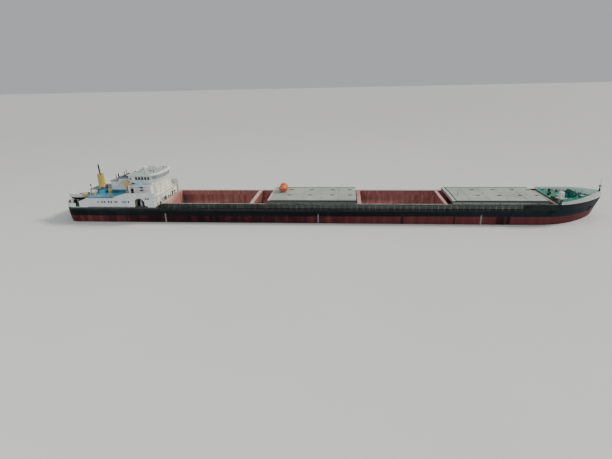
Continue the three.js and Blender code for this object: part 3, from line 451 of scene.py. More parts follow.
paints = {
    # name: colour, second tone, roughness, grain, streaks, rust, metal
    "topside": ((0.003, 0.005, 0.0055), (0.01, 0.014, 0.014), 0.55, 2, 0.3),
    "sideBulwark": ((0.018, 0.027, 0.026), (0.012, 0.019, 0.02), 0.55, 2, 0.2),
    "white": ((0.66, 0.68, 0.67), (0.54, 0.57, 0.58), 0.42, 1, 0.28, 0.3),
    "roofPaint": ((0.4, 0.46, 0.42), (0.33, 0.39, 0.35), 0.5, 2, 0.2),
    "brightWhite": ((0.86, 0.87, 0.82), (0.76, 0.78, 0.74), 0.4, 2, 0.1),
    "whiteTrim": ((0.7, 0.72, 0.7), (0.56, 0.59, 0.58), 0.4, 2, 0.15),
    "foredeckGreen": ((0.3, 0.5, 0.42), (0.2, 0.42, 0.34), 0.5, 2, 0.2),
    "teal": ((0.008, 0.15, 0.125), (0.015, 0.23, 0.18), 0.45, 4, 0.3),
    # the hold red lit by painted sunlight, for the first hold's bulkhead ribs
    "salmon": ((0.45, 0.24, 0.21), (0.36, 0.16, 0.14), 0.55, 2, 0.3, 0.5),
    "holdRed": ((0.26, 0.085, 0.075), (0.34, 0.14, 0.12), 0.55, 2, 0.4, 0.6),
    "darkBlue": ((0.006, 0.02, 0.032), (0.018, 0.045, 0.062), 0.5, 2, 0.2),
    "brightBlue": ((0.03, 0.34, 0.62), (0.06, 0.43, 0.68), 0.4, 2, 0.2),
    "quarterdeck": ((0.02, 0.028, 0.028), (0.05, 0.058, 0.055), 0.55, 2, 0.2),
    "rail": ((0.5, 0.53, 0.5), (0.36, 0.38, 0.36), 0.45, 4, 0.3, 0.5),
    "yellow": ((0.52, 0.41, 0.08), (0.43, 0.34, 0.075), 0.42, 3, 0.3),
    "black": ((0.01, 0.011, 0.012), (0.026, 0.026, 0.026), 0.5, 3, 0.15),
    "orange": ((0.72, 0.12, 0.03), (0.58, 0.1, 0.028), 0.35, 3, 0.12, 0.05),
    "red": ((0.34, 0.03, 0.026), (0.26, 0.028, 0.024), 0.4, 3, 0.15),
    "tan": ((0.52, 0.4, 0.2), (0.42, 0.31, 0.15), 0.5, 3, 0.2),
    "paleBlue": ((0.2, 0.44, 0.66), (0.36, 0.58, 0.76), 0.5, 3, 0.3),
    "cream": ((0.66, 0.64, 0.42), (0.55, 0.53, 0.34), 0.8, 5, 0.1),
    "canvas": ((0.62, 0.63, 0.6), (0.5, 0.51, 0.49), 0.8, 5, 0.1, 0),
    "brown": ((0.06, 0.025, 0.016), (0.09, 0.04, 0.026), 0.45, 4, 0.15),
    "steel": ((0.24, 0.25, 0.26), (0.16, 0.17, 0.18), 0.45, 3, 0.2, 0.5, 0.7),
    "rusty": ((0.09, 0.05, 0.035), (0.14, 0.065, 0.04), 0.65, 4, 0.3, 0.9, 0.2),
    "bronze": ((0.36, 0.22, 0.08), (0.26, 0.18, 0.08), 0.35, 4, 0.1, 0, 0.95),
    "strake": ((0.006, 0.009, 0.009), (0.02, 0.024, 0.024), 0.5, 3, 0.3, 0.3),
    "darkRoof": ((0.1, 0.115, 0.12), (0.15, 0.165, 0.17), 0.5, 2, 0.2),
    "greyRoof": ((0.2, 0.22, 0.23), (0.27, 0.29, 0.3), 0.5, 2, 0.2),
    "lampRed": ((0.5, 0.02, 0.02), (0.4, 0.02, 0.02), 0.2, 8, 0),
    "lampGreen": ((0.02, 0.4, 0.12), (0.02, 0.3, 0.1), 0.2, 8, 0),
    "lampWhite": ((0.75, 0.75, 0.7), (0.65, 0.65, 0.6), 0.15, 8, 0),
    "rope": ((0.36, 0.3, 0.2), (0.28, 0.23, 0.15), 0.8, 12, 0, 0),
}
extras = {
    "topside": {"specular": 0.12},
    "sideBulwark": {"specular": 0.12},
    "quarterdeck": {"specular": 0.3},
    "strake": {"specular": 0.2},
    # white: the front pair is the painted sunlight on faces towards the bow, below and above the bridge
    "white": {"plates": (0.6, 0.28), "dirt": (0.25, 0.2, 0.14),
        "front": ((0.94, 0.93, 0.78), (0.6, 0.64, 0.56))},
}
finishes = {
    "hullPaint": hullPaint(hullSettings),
    "coaming": coamingPaint(coamingSettings),
    "cover": coverPaint(coverSettings),
    "foredeck": foredeckPaint(deckGreen, (0.0105, 0.0175, 0.023)),
    "glass": glassPane("windowGlass", (0.012, 0.02, 0.026), (0.03, 0.042, 0.05)),
    # pale panes: a painted reflection of the bright sky
    "skyReflectionGlass": glassPane("skyReflectionGlass", (0.2, 0.25, 0.28), (0.3, 0.35, 0.38)),
    "tanGlass": glassPane("tanGlass", (0.24, 0.17, 0.12), (0.3, 0.21, 0.15)),
}
for name, row in twoTones.items():
    finishes[name] = twoTone(name, *row)
for name, row in paints.items():
    finishes[name] = weathered(name, *row, **extras.get(name, {}))

nodeFinish = {  # a star stands for either side
    "hullPaint": ["hull"],
    "sideBulwark": ["side_bulwark_*"],
    "bowBulwark": ["bow_bulwark"],
    "hood": ["companionway"],
    "white": ["stern_bulwark", "lower_house", "upper_house", "bridge_deck", "wheelhouse", "engine_casing",
        "boat_deck_bulwark_starboard", "wheelhouse_door_*"],
    "roofPaint": ["wheelhouse_roof"],
    # the port boat-deck bulwark, whose inner face is in shade, gets the brighter white as painted light
    "brightWhite": ["boat_deck_bulwark_port"],
    "tenderPaint": ["tender"],
    "brown": ["house_door_*"],
    "whiteTrim": ["main_mast", "fore_mast", "radar_scanner"],
    "quarterdeck": ["quarterdeck"],
    "foredeck": ["forecastle"],
    "coaming": ["hold_coaming"],
    "cover": ["cover_aft_lower", "cover_aft_upper", "cover_fore_lower", "cover_fore_upper"],
    "boatDeck": ["boat_deck"],
    "casingBase": ["casing_base"],
    "deckRail": ["deck_rail_*"],
    "rail": ["boat_deck_rail_*", "bridge_rail_*"],
    "yellow": ["funnel", "crane", "cowl_large_*", "cowl_small_*"],
    "black": ["exhaust_pipe", "stern_winch", "fore_mast_foot", "anchor_*", "tender_chocks"],
    "orange": ["work_boat"],
    "teal": ["windlass"],
    "steel": ["boat_cradle"],
    "darkRoof": ["aft_shelter"],
    "bronze": ["propeller_*"],
    "strake": ["rubbing_strake_*", "rudder_*"],
    "glass": ["wheelhouse_glass"],
}
for finish, names in nodeFinish.items():
    for name in {node.replace("*", side) for node in names for side, sign in sides}:
        slots = frame["nodes"][name].data.materials
        slots.clear()
        slots.append(finishes[finish])
print("finishes on all CAD nodes")


def makeFloor(reach=150):  # at the waterline, left open under the holds, whose floors lie lower
    g = Graph("paleFloor")
    mesh = bpy.data.meshes.new("floor")
    spots = []
    for x0, x1, y in ((-reach, reach, reach), (-4.2, 5.57, 0.67)):
        spots += [(x0, -y, waterline), (x1, -y, waterline), (x1, y, waterline), (x0, y, waterline)]
    mesh.from_pydata(spots, [], [(i, (i + 1) % 4, (i + 1) % 4 + 4, i + 4) for i in range(4)])
    mesh.materials.append(g.finish(g.mix(g.noise(0.4, 2), (0.6, 0.6, 0.58), (0.64, 0.64, 0.62)), 0.6))
    floor = bpy.data.objects.new("floor", mesh)
    bpy.context.collection.objects.link(floor)


makeFloor()


# Pieces: shapes gathered face by face in millimetres, and geometry nodes trees for what repeats

def settle(made, body, replaces=()):
    if made.name not in bpy.context.collection.objects:
        bpy.context.collection.objects.link(made)
    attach(made, body)
    if replaces:
        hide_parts(*replaces)


def smooth(mesh, angle):
    mesh.shade_smooth()
    mesh.set_sharp_from_angle(angle=math.radians(angle))


def wallPlace(point, out):  # local x runs along a wall, y up it and z out of it
    out = Vector(out).normalized()
    along = Vector((0, 0, 1)).cross(out).normalized()
    return Matrix.Translation(point) @ Matrix((along, out.cross(along), out)).transposed().to_4x4()


def toSide(sign):  # a place where what is drawn to port lands on either side
    return Matrix.Diagonal((1, sign, 1, 1))


def circle(radius, sides=16):
    turns = [i * math.tau / sides for i in range(sides)]
    return [(radius * math.cos(turn), radius * math.sin(turn)) for turn in turns]


def roundedBox(halfWide, halfTall, radius, steps=3):  # outline of a plate with round corners
    points = []
    for sx, sy, quarter in ((1, 1, 0), (-1, 1, 1), (-1, -1, 2), (1, -1, 3)):
        for i in range(steps + 1):
            angle = (quarter + i / steps) * math.pi / 2
            points.append((sx * (halfWide - radius) + radius * math.cos(angle),
                sy * (halfTall - radius) + radius * math.sin(angle)))
    return points


def arcPath(centre, radius, start, end, steps, plane="xz"):  # degrees, from the first axis to the second
    made = []
    for i in range(steps + 1):
        angle = math.radians(start + (end - start) * i / steps)
        a, b = radius * math.cos(angle), radius * math.sin(angle)
        step = {"xz": (a, 0, b), "yz": (0, a, b), "xy": (a, b, 0)}[plane]
        made.append(Vector(centre) + Vector(step))
    return made


class Shape:
    spots = {"x": lambda a, b, c: (c, a, b), "y": lambda a, b, c: (a, c, b), "z": lambda a, b, c: (a, b, c)}

    def __init__(self, finish="white"):
        self.points, self.faces, self.paints, self.used = [], [], [], []
        self.finish, self.place = finish, Matrix.Identity(4)

    def at(self, place):  # the same piece, with what comes next drawn in another place
        view = copy.copy(self)
        view.place = self.place @ (place if isinstance(place, Matrix) else Matrix.Translation(place))
        return view

    def put(self, points, faces, finish):
        finish = finish or self.finish
        if finish not in self.used:
            self.used.append(finish)
        start = len(self.points)
        self.points += [self.place @ Vector(point) for point in points]
        self.faces += [[start + i for i in face] for face in faces]
        self.paints += [self.used.index(finish)] * len(faces)

    def loft(self, rings, finish=None, closed=False):  # rings of equal count, capped unless closed
        n = len(rings[0])
        faces = []
        for k in range(len(rings) if closed else len(rings) - 1):
            a, b = k * n, ((k + 1) % len(rings)) * n
            faces += [(a + i, a + (i + 1) % n, b + (i + 1) % n, b + i) for i in range(n)]
        if not closed:
            faces += [tuple(range(n)), tuple(range((len(rings) - 1) * n, len(rings) * n))]
        self.put([point for ring in rings for point in ring], faces, finish)

    def prism(self, outline, axis, low, high, finish=None):
        spot = self.spots[axis]
        self.loft([[spot(a, b, c) for a, b in outline] for c in (low, high)], finish)

    def ring(self, outer, inner, axis, low, high, finish=None):  # a frame between two outlines
        spot = self.spots[axis]
        edges = ((outer, low), (outer, high), (inner, high), (inner, low))
        self.loft([[spot(a, b, c) for a, b in line] for line, c in edges], finish, closed=True)

    def box(self, x0, x1, y0, y1, z0, z1, finish=None):
        self.prism([(x0, y0), (x1, y0), (x1, y1), (x0, y1)], "z", z0, z1, finish)

    def block(self, x, y, z, halfLong, halfWide, tall, finish=None):  # a box standing at a point
        self.box(x - halfLong, x + halfLong, y - halfWide, y + halfWide, z, z + tall, finish)

    def lathe(self, centre, profile, finish=None, axis="z", sides=20, closed=False):  # radius and height
        spot, middle = self.spots[axis], Vector(centre)
        points, rows, faces = [], [], []
        for radius, height in profile:
            count = sides if radius else 1
            rows.append(list(range(len(points), len(points) + count)))
            points += [middle + Vector(spot(a, b, height)) for a, b in circle(radius, sides)[:count]]
        for a, b in list(zip(rows, rows[1:])) + ([(rows[-1], rows[0])] if closed else []):
            for i in range(sides):
                j = (i + 1) % sides
                face = (a[i % len(a)], a[j % len(a)], b[j % len(b)], b[i % len(b)])
                faces.append(tuple(dict.fromkeys(face)))
        if not closed:
            faces += [tuple(row) for row in (rows[0], rows[-1]) if len(row) > 1]
        self.put(points, faces, finish)

    def rod(self, start, length, radius, finish=None, axis="z", sides=12):
        self.lathe(start, [(radius, 0), (radius, length)], finish, axis, sides)

    def tube(self, path, radius, finish=None, sides=8, closed=False):
        path = [Vector(point) for point in path]
        widths = radius if isinstance(radius, (list, tuple)) else [radius] * len(path)
        rings, side = [], None
        for k, point in enumerate(path):
            back = path[k - 1] if k or closed else point
            on = path[(k + 1) % len(path)] if k + 1 < len(path) or closed else point
            way = ((point - back).normalized() + (on - point).normalized()).normalized()
            side = side or (Vector((0, 0, 1)).cross(way) if abs(way.z) < 0.9 else Vector((0, 1, 0)))
            side = (side - way * side.dot(way)).normalized()
            other = way.cross(side)
            rings.append([point + side * a + other * b for a, b in circle(widths[k], sides)])
        self.loft(rings, finish, closed)

    def mesh(self, name, bevel=0):
        mesh = bpy.data.meshes.new(name)
        mesh.from_pydata([tuple(point * mm) for point in self.points], [], self.faces)
        for finish in self.used:
            mesh.materials.append(finishes[finish])
        mesh.polygons.foreach_set("material_index", self.paints)
        net = bmesh.new()
        net.from_mesh(mesh)
        bmesh.ops.recalc_face_normals(net, faces=net.faces)
        if bevel:
            edges = [edge for edge in net.edges if edge.is_manifold and edge.calc_face_angle() > 0.6]
            bmesh.ops.bevel(net, geom=edges, offset=bevel * mm, segments=1, affect="EDGES",
                clamp_overlap=True)
        net.to_mesh(mesh)
        net.free()
        return mesh

    def seed(self):  # unpainted, for a tree to repeat
        mesh = self.mesh("seed")
        mesh.materials.clear()
        return mesh

    def done(self, name, body="root", slot="white_paint", replaces=(), angle=35, bevel=0):
        mesh = self.mesh(name, bevel)
        smooth(mesh, angle)
        settle(bpy.data.objects.new(name, mesh), body, replaces)


class Tree(Net):  # a geometry nodes group whose sizes are named inputs
    family = "GeometryNode"

    def __init__(self, name, **sizes):
        self.tree = bpy.data.node_groups.new(name, "GeometryNodeTree")
        sockets = self.tree.interface
        for key, kind in {"Geometry": "Geometry", **sizes, "Finish": "Material"}.items():
            sockets.new_socket(key, in_out="INPUT", socket_type="NodeSocket" + kind)
        sockets.new_socket("Geometry", in_out="OUTPUT", socket_type="NodeSocketGeometry")
        given = self.tree.nodes.new("NodeGroupInput").outputs
        self.given = {socket.name: Field(self, socket) for socket in given}

    def combine(self, **axes):
        return self.node("ShaderNodeCombineXYZ", **axes)[0]

    def join(self, *parts):
        node = self.tree.nodes.new("GeometryNodeJoinGeometry")
        for part in reversed(parts):
            self.feed(node.inputs[0], part)
        return Field(self, node.outputs[0])

    def close(self, geometry):
        real = self.node("RealizeInstances", Geometry=geometry)[0]
        painted = self.node("SetMaterial", Geometry=real, Material=self.given["Finish"])[0]
        self.feed(self.tree.nodes.new("NodeGroupOutput").inputs[0], painted)
        return self.tree


def makeRailTree():  # bars over a run of edges, with a post at each of its points
    tree = Tree("rail", Height="Float", Bars="Int", BarRadius="Float", PostRadius="Float")
    given = tree.given
    run = tree.node("MeshToCurve", Mesh=given["Geometry"])[0]
    copies, number = tree.node("DuplicateElements", {"domain": "SPLINE"}, Geometry=run, Amount=given["Bars"])
    lift = tree.combine(Z=(number + 1) / given["Bars"] * given["Height"])
    raised = tree.node("SetPosition", Geometry=copies, Offset=lift)[0]
    section = tree.node("CurvePrimitiveCircle", Resolution=6, Radius=given["BarRadius"])[0]
    bars = tree.node("CurveToMesh", Curve=raised, ProfileCurve=section, FillCaps=True)[0]
    post = tree.node("MeshCylinder", Vertices=6, Radius=given["PostRadius"], Depth=given["Height"])[0]
    post = tree.node("Transform", Geometry=post, Translation=tree.combine(Z=given["Height"] * 0.5))[0]
    posts = tree.node("InstanceOnPoints", Points=given["Geometry"], Instance=post)[0]
    return tree.close(tree.join(bars, posts))


def makeGridTree():  # copies of a piece in rows
    tree = Tree("grid", Along="Int", AlongStep="Vector", Across="Int", AcrossStep="Vector")
    given = tree.given
    made = given["Geometry"]
    for way in ("Along", "Across"):
        line = tree.node("MeshLine", {"mode": "OFFSET"}, Count=given[way], Offset=given[way + "Step"])[0]
        made = tree.node("InstanceOnPoints", Points=line, Instance=made)[0]
    return tree.close(made)


def makeChainTree():  # copies of a link along a run of edges, each rolled on from the last
    tree = Tree("chain", Link="Object", Spacing="Float", Roll="Float")
    given = tree.given
    run = tree.node("MeshToCurve", Mesh=given["Geometry"])[0]
    even = tree.node("ResampleCurve", {"mode": "LENGTH"}, Curve=run, Length=given["Spacing"])[0]
    way = tree.node("InputTangent")[0]
    turned = tree.node("FunctionNodeAlignRotationToVector", {"axis": "X"}, Vector=way)[0]
    roll = tree.combine(X=tree.node("InputIndex")[0] * given["Roll"])
    spin = tree.node("FunctionNodeEulerToRotation", Euler=roll)[0]
    local = {"rotation_space": "LOCAL"}
    turned = tree.node("FunctionNodeRotateRotation", local, Rotation=turned, RotateBy=spin)[0]
    link = tree.node("ObjectInfo", Object=given["Link"])[-1]
    return tree.close(tree.node("InstanceOnPoints", Points=even, Instance=link, Rotation=turned)[0])


railTree, gridTree, chainTree = makeRailTree(), makeGridTree(), makeChainTree()


def applied(made):  # its mesh with the modifiers worked in
    depsgraph = bpy.context.evaluated_depsgraph_get()
    return bpy.data.meshes.new_from_object(made.evaluated_get(depsgraph))


def grow(name, base, group, values, finish, body="root", slot="steel", replaces=(), angle=35):
    source = bpy.data.objects.new(name, base)
    bpy.context.collection.objects.link(source)
    modifier = source.modifiers.new("grow", "NODES")
    modifier.node_group = group
    for socket in group.interface.items_tree:
        if socket.in_out == "INPUT" and socket.name in values:
            modifier[socket.identifier] = values[socket.name]
        elif socket.name == "Finish":
            modifier[socket.identifier] = finishes[finish]
    made = applied(source)
    source.modifiers.clear()
    source.data = made
    smooth(made, angle)
    settle(source, body, replaces)


def runOf(points, every):  # edges along corners, with points set at even steps between them
    points = [Vector(point) for point in points]
    made = [points[0]]
    for start, end in zip(points, points[1:]):
        count = max(1, round((end - start).length / every))
        made += [start.lerp(end, i / count) for i in range(1, count + 1)]
    mesh = bpy.data.meshes.new("run")
    mesh.from_pydata([point * mm for point in made], [(i, i + 1) for i in range(len(made) - 1)], [])
    return mesh


def seedBox(*edges):
    shape = Shape()
    shape.box(*edges)
    return shape.seed()


def rows(name, base, along, step, finish, across=1, acrossStep=(0, 0, 0), **more):
    values = {"Along": along, "AlongStep": [part * mm for part in step],
        "Across": across, "AcrossStep": [part * mm for part in acrossStep]}
    grow(name, base, gridTree, values, finish, **more)


platingSettings = {
    # node: angle that stays sharp, slot
    "hull": (38, "hull_paint"),
    "bow_bulwark": (38, "white_paint"),
    "stern_bulwark": (38, "white_paint"),
    "forecastle": (38, "foredeck_green"),
    "quarterdeck": (38, "hull_paint"),
}


def smoothPlating(settings):  # the curved plating again with its facets shaded as one surface
    for name, (angle, slot) in settings.items():
        made = bpy.data.objects.new(name + "_plating", frame["nodes"][name].data.copy())
        bpy.context.collection.objects.link(made)
        net = bmesh.new()
        net.from_mesh(made.data)
        bmesh.ops.remove_doubles(net, verts=net.verts, dist=1e-5)
        bmesh.ops.dissolve_limit(net, angle_limit=0.002, verts=net.verts, edges=net.edges)
        net.to_mesh(made.data)
        net.free()
        smooth(made.data, angle)
        weight = made.modifiers.new("weight", "WEIGHTED_NORMAL")
        weight.keep_sharp = True
        made.data = applied(made)
        made.modifiers.clear()
        settle(made, "root", [name])


smoothPlating(platingSettings)
print("curved plating smoothed")


# Rails

railSettings = {
    "barRadius": 1.7,
    "postRadius": 2.6,
    "runs": (
        # name, replaced node, foot, corners, height, bars, posts every, finish
        ("deckRail", "deck_rail", decks["main"], ((-4315, 806), (4754, 806)), 115, 4, 150, "deckRail"),
        ("boatDeckRail", "boat_deck_rail", decks["boat"], ((-5460, 808), (-6190, 808), (-6190, 608)),
            105, 3, 120, "rail"),
        ("bridgeRail", "bridge_rail", decks["bridge"], ((-5097, 560), (-5097, 640), (-5052, 640),
            (-5052, 727), (-4648, 727), (-4648, 640), (-4525, 640)), 100, 3, 100, "rail"),
        ("bulwarkRail", None, 967, ((-4660, 815), (-4345, 815)), 83, 2, 105, "rail"),
    ),
}


def makeRails(s):
    for side, sign in sides:
        for name, node, foot, corners, height, bars, every, finish in s["runs"]:
            values = {"Height": height * mm, "Bars": bars, "BarRadius": s["barRadius"] * mm,
                "PostRadius": s["postRadius"] * mm}
            run = runOf([(x, sign * y, foot) for x, y in corners], every)
            replaces = [f"{node}_{side}"] if node else []
            grow(f"{name}_{side}", run, railTree, values, finish, "root", "rail_paint", replaces)
        bar = Shape("topside")
        bar.tube([(-4310, sign * 812, 579.5), (4750, sign * 812, 579.5)], 4.2, sides=6)
        bar.done(f"deckEdgeBar_{side}", slot="rail_paint")


makeRails(railSettings)
print("rails made")


# Windows and doors: a frame and a pane on a wall's outer face, set back into the opening

windowSettings = {"frame": 6, "proud": 3.5, "back": 6, "glass": 2}


def makeWindow(frames, panes, place, halfWide, halfTall, glass="glass", corner=12, trim="whiteTrim"):
    s = windowSettings
    corner = min(corner, halfWide * 0.8, halfTall * 0.8)
    inner = roundedBox(halfWide, halfTall, corner)
    outer = roundedBox(halfWide + s["frame"], halfTall + s["frame"], corner + s["frame"])
    frames.at(place).ring(outer, inner, "z", -1, s["proud"], trim)
    pane = roundedBox(halfWide - 0.5, halfTall - 0.5, corner)
    panes.at(place).prism(pane, "z", -s["back"], s["glass"] - s["back"], glass)


def makePorthole(frames, panes, place, radius, glass="glass", trim="whiteTrim"):
    rim = ((radius * 1.3, -1), (radius * 1.3, 2.4), (radius * 1.12, 4), (radius, 2.4), (radius, -1))
    frames.at(place).lathe((0, 0, 0), rim, trim, closed=True)
    panes.at(place).lathe((0, 0, 0), ((radius * 1.02, -0.5), (radius * 1.02, 1.5), (0, 2.2)), glass)


def makeShutDoor(frames, leaves, place, halfWide, height, finish, window=True):  # placed by its sill
    middle, grip = height / 2, halfWide - 12
    place = place @ Matrix.Translation((0, middle, 0))
    frames, leaves = frames.at(place), leaves.at(place)
    rim, hole = roundedBox(halfWide + 7, middle + 7, 14), roundedBox(halfWide, middle, 8)
    frames.ring(rim, hole, "z", -1, 4, "whiteTrim")
    leaves.prism(roundedBox(halfWide - 1, middle - 1, 7), "z", -7, -1, finish)
    leaves.tube([(grip, -8, -1), (grip, -8, 6), (grip, 12, 6), (grip, 12, -1)], 1.8, "steel", sides=6)
    for y in (-middle * 0.7, middle * 0.7):
        leaves.box(-halfWide - 2, -halfWide + 8, y - 6, y + 6, -2, 3, "steel")
    if window:
        leaves.prism(roundedBox(halfWide * 0.5, height * 0.13, 6), "z", -3.5, -0.3, "glass")


# Lower house

lowerHouseSettings = {
    "wall": 815.3,
    "windowHeight": 737.5,
    "windowHalf": 30.5,
    "windows": (
        # x, half width, glass
        (-5892, 28, "skyReflectionGlass"),
        (-5783, 20, "glass"),
        (-5712, 20, "glass"),
        (-5605, 22, "glass"),
        (-5532, 22, "glass"),
        (-5408, 46, "tanGlass"),
        (-5178, 70, "skyReflectionGlass"),
        (-5064, 18, "glass"),
    ),
    "screenPorts": ((-4588, 817), (-4529, 817)),
    "portRadius": 17,
    "aft": -6200,
    "aftWindows": (-500, -200, 200, 500),
    "doors": (
        # x, y, looking forward or aft, finish, window
        (-6200, 0, -1, "brown", True),
        (-4368, -400, 1, "whiteTrim", False),
        (-4368, 400, 1, "whiteTrim", False),
        (-4388, -735, 1, "whiteTrim", False),
        (-4388, 735, 1, "whiteTrim", False),
    ),
    "brace": ((-4750, 815), (-4705, 740), (-4625, 620)),
    "arch": ((-4650, 612), (-4652, 738), (-4690, 792), (-4750, 822), (-4830, 812), (-4885, 775),
        (-4885, 612)),
}


def makeLowerHouse(s):
    frames, panes, leaves = Shape("whiteTrim"), Shape("glass"), Shape()
    for side, sign in sides:
        out = (0, sign, 0)
        for x, half, glass in s["windows"]:
            place = wallPlace((x, sign * s["wall"], s["windowHeight"]), out)
            makeWindow(frames, panes, place, half, s["windowHalf"], glass)
        for x, z in s["screenPorts"]:
            place = wallPlace((x, sign * s["wall"], z), out)
            makePorthole(frames, panes, place, s["portRadius"], "black", "black")
        trim = frames.at(toSide(sign))
        # a black rim round the arch, painted shade at the opening's edge
        trim.tube([(x, s["wall"], z) for x, z in s["arch"]], 9, "black")
        trim.tube([(x, 818.5, z) for x, z in s["brace"]], 8, "black")
        trim.prism([(-4900, 596.5), (-4560, 596.5), (-4575, 630), (-4900, 630)], "y", 815.5, 819.5, "black")
        trim.tube([(-6190, 817, 842), (-4900, 817, 842)], 4.5, sides=6)
        trim.tube([(-6190, 817, 606), (-4900, 817, 606)], 4, "topside", sides=6)
        trim.box(-4392, -4388, 662, 808.5, 595.7, 844.5, "white")  # shuts the side passage at its fore end
    for y in s["aftWindows"]:
        makeWindow(frames, panes, wallPlace((s["aft"], y, s["windowHeight"]), (-1, 0, 0)), 40, 32.5)
    for x, y, out, finish, window in s["doors"]:
        makeShutDoor(frames, leaves, wallPlace((x, y, 616), (out, 0, 0)), 35, 184, finish, window)
    frames.done("lowerHouseFrames")
    panes.done("lowerHouseGlass", slot="glass")
    leaves.done("lowerHouseDoors", slot="door_brown")


def makePassageFittings():  # a dark panel as painted shade on the inner wall, a locker, a hose reel and a bench in each side passage
    fittings = Shape("whiteTrim")
    reel = ((30, 0), (30, 6), (18, 6), (18, 20), (30, 20), (30, 26), (0, 26))
    for side, sign in sides:
        passage = fittings.at(toSide(sign))
        # painted shade: a dark panel on the passage's inner wall
        passage.box(-4910, -4600, 660.3, 664.3, 600, 840, "strake")
        passage.box(-4805, -4760, 664.5, 700, 600, 755)
        passage.box(-4810, -4755, 662.5, 702, 755, 760, "greyRoof")
        fittings.lathe((-4600, sign * 662, 720), reel, "black", "y")
        passage.box(-4550, -4450, 690, 730, 625, 632, "tan")
        for x in (-4540, -4460):
            passage.box(x - 4, x + 4, 695, 725, 595.3, 625, "steel")
    fittings.done("passageFittings", slot="steel")


makeLowerHouse(lowerHouseSettings)
makePassageFittings()
print("lower house fitted")


# Upper house and wheelhouse: the same bowed front as the plating

frontBow = ((0, 0), (0.4, 10), (0.68, 45), (0.86, 98), (1, 170))  # share of the half breadth, set back


def frontPlace(tip, half, y, z):  # a place on a bowed front, at a distance y off the centreline
    share = min(abs(y) / half, 0.999)
    spans = zip(frontBow, frontBow[1:])
    (s0, back0), (s1, back1) = next(span for span in spans if share <= span[1][0])
    back = back0 + (back1 - back0) * (share - s0) / (s1 - s0)
    slope = (back1 - back0) / ((s1 - s0) * half)
    return wallPlace((tip - back, y, z), (1, math.copysign(slope, y) if y else 0, 0))


def frontLine(tip, half, z, out=0):  # the front's edge from one side to the other
    points = [(tip - back + out, share * half, z) for share, back in frontBow]
    return [(x, -y, z) for x, y, z in reversed(points[1:])] + points


upperHouseSettings = {
    "tip": -4342,
    "half": 650,
    "aft": -5105,
    "vents": ((-4742.5, 1007), (-4742.5, 1087)),
    "sidePorts": (-4660, -4600),
    "frontWindows": (-500, -360, -200, 0, 200, 360, 500),
    "aftWindows": (-450, -250, 250, 450),
}


def makeUpperHouse(s):
    frames, panes = Shape("whiteTrim"), Shape("glass")
    for side, sign in sides:
        for x, z in s["vents"]:
            place = wallPlace((x, sign * s["half"], z), (0, sign, 0))
            makeWindow(frames, panes, place, 42.5, 18, "black", 4, "black")
        for x in s["sidePorts"]:
            spot = wallPlace((x, sign * s["half"], 1000), (0, sign, 0))
            makePorthole(frames, panes, spot, 14, "skyReflectionGlass")
    for y in s["frontWindows"]:
        makeWindow(frames, panes, frontPlace(s["tip"], s["half"], y, 1045), 32, 28, "skyReflectionGlass")
        makePorthole(frames, panes, frontPlace(s["tip"], s["half"], y, 930), 15, "skyReflectionGlass")
    for y in s["aftWindows"]:
        makeWindow(frames, panes, wallPlace((s["aft"], y, 1030), (-1, 0, 0)), 30, 30)
    frames.tube(frontLine(s["tip"], s["half"], 1108, 2), 5, sides=6)
    frames.done("upperHouseFrames")
    panes.done("upperHouseGlass", slot="glass")


wheelhouseSettings = {
    "tip": -4342,
    "half": 540,
    "aft": -5105,
    "sill": 1255,
    "head": 1340,
    "sidePanes": (-4935, -4540, 5, 16),  # from, to, count, post
    "frontPanes": (-524, 524, 9, 16),
    "backPanes": (-400, 400, 5, 60),
    "roofHalf": 580,
    "roofLip": 25,
}


def paneSpans(start, end, count, post):  # middle and half width of each pane
    pitch = (end - start + post) / count
    half = (pitch - post) / 2
    return [(start + i * pitch + half, half) for i in range(count)]


def makeWheelhouse(s):
    frames, panes = Shape("whiteTrim"), Shape("glass")
    middle, halfTall = (s["sill"] + s["head"]) / 2, (s["head"] - s["sill"]) / 2
    for x, half in paneSpans(*s["sidePanes"]):
        for side, sign in sides:
            place = wallPlace((x, sign * s["half"], middle), (0, sign, 0))
            makeWindow(frames, panes, place, half - 1, halfTall - 2, "glass", 10)
    for y, half in paneSpans(*s["frontPanes"]):
        place = frontPlace(s["tip"], s["half"], y, middle)
        wide = half / max(0.4, abs(place.col[0].y)) * 0.96
        makeWindow(frames, panes, place, wide, halfTall - 2, "skyReflectionGlass", 8)
        wiper = [(-wide * 0.1, halfTall + 4, 6), (wide * 0.35, -halfTall * 0.4, 5)]
        frames.at(place).tube(wiper, 1.2, "black", sides=5)
    for y, half in paneSpans(*s["backPanes"]):
        makeWindow(frames, panes, wallPlace((s["aft"], y, middle), (-1, 0, 0)), half - 1, halfTall - 2)
    lip, half = s["tip"] + s["roofLip"], s["roofHalf"]
    gutter = [(-5125, -half, 1387), *frontLine(lip, half, 1387, 2), (-5125, half, 1387)]
    # painted highlight: the gutter in the brighter white along the roof's front edge
    frames.tube(gutter, 6, "brightWhite", sides=6)
    brow = ((4, 1370), (4, 1411), (-50, 1411), (-50, 1395))
    rings = [[(x + dx, y, z) for dx, z in brow] for x, y, foot in frontLine(lip, half, 0)]
    # painted highlight: the brow too in the brighter white
    frames.loft(rings, "brightWhite")
    frames.tube(frontLine(s["tip"], s["half"], 1232, 4), 3, sides=6)
    frames.done("wheelhouseFrames")
    panes.done("wheelhouseGlassPanes", slot="glass")


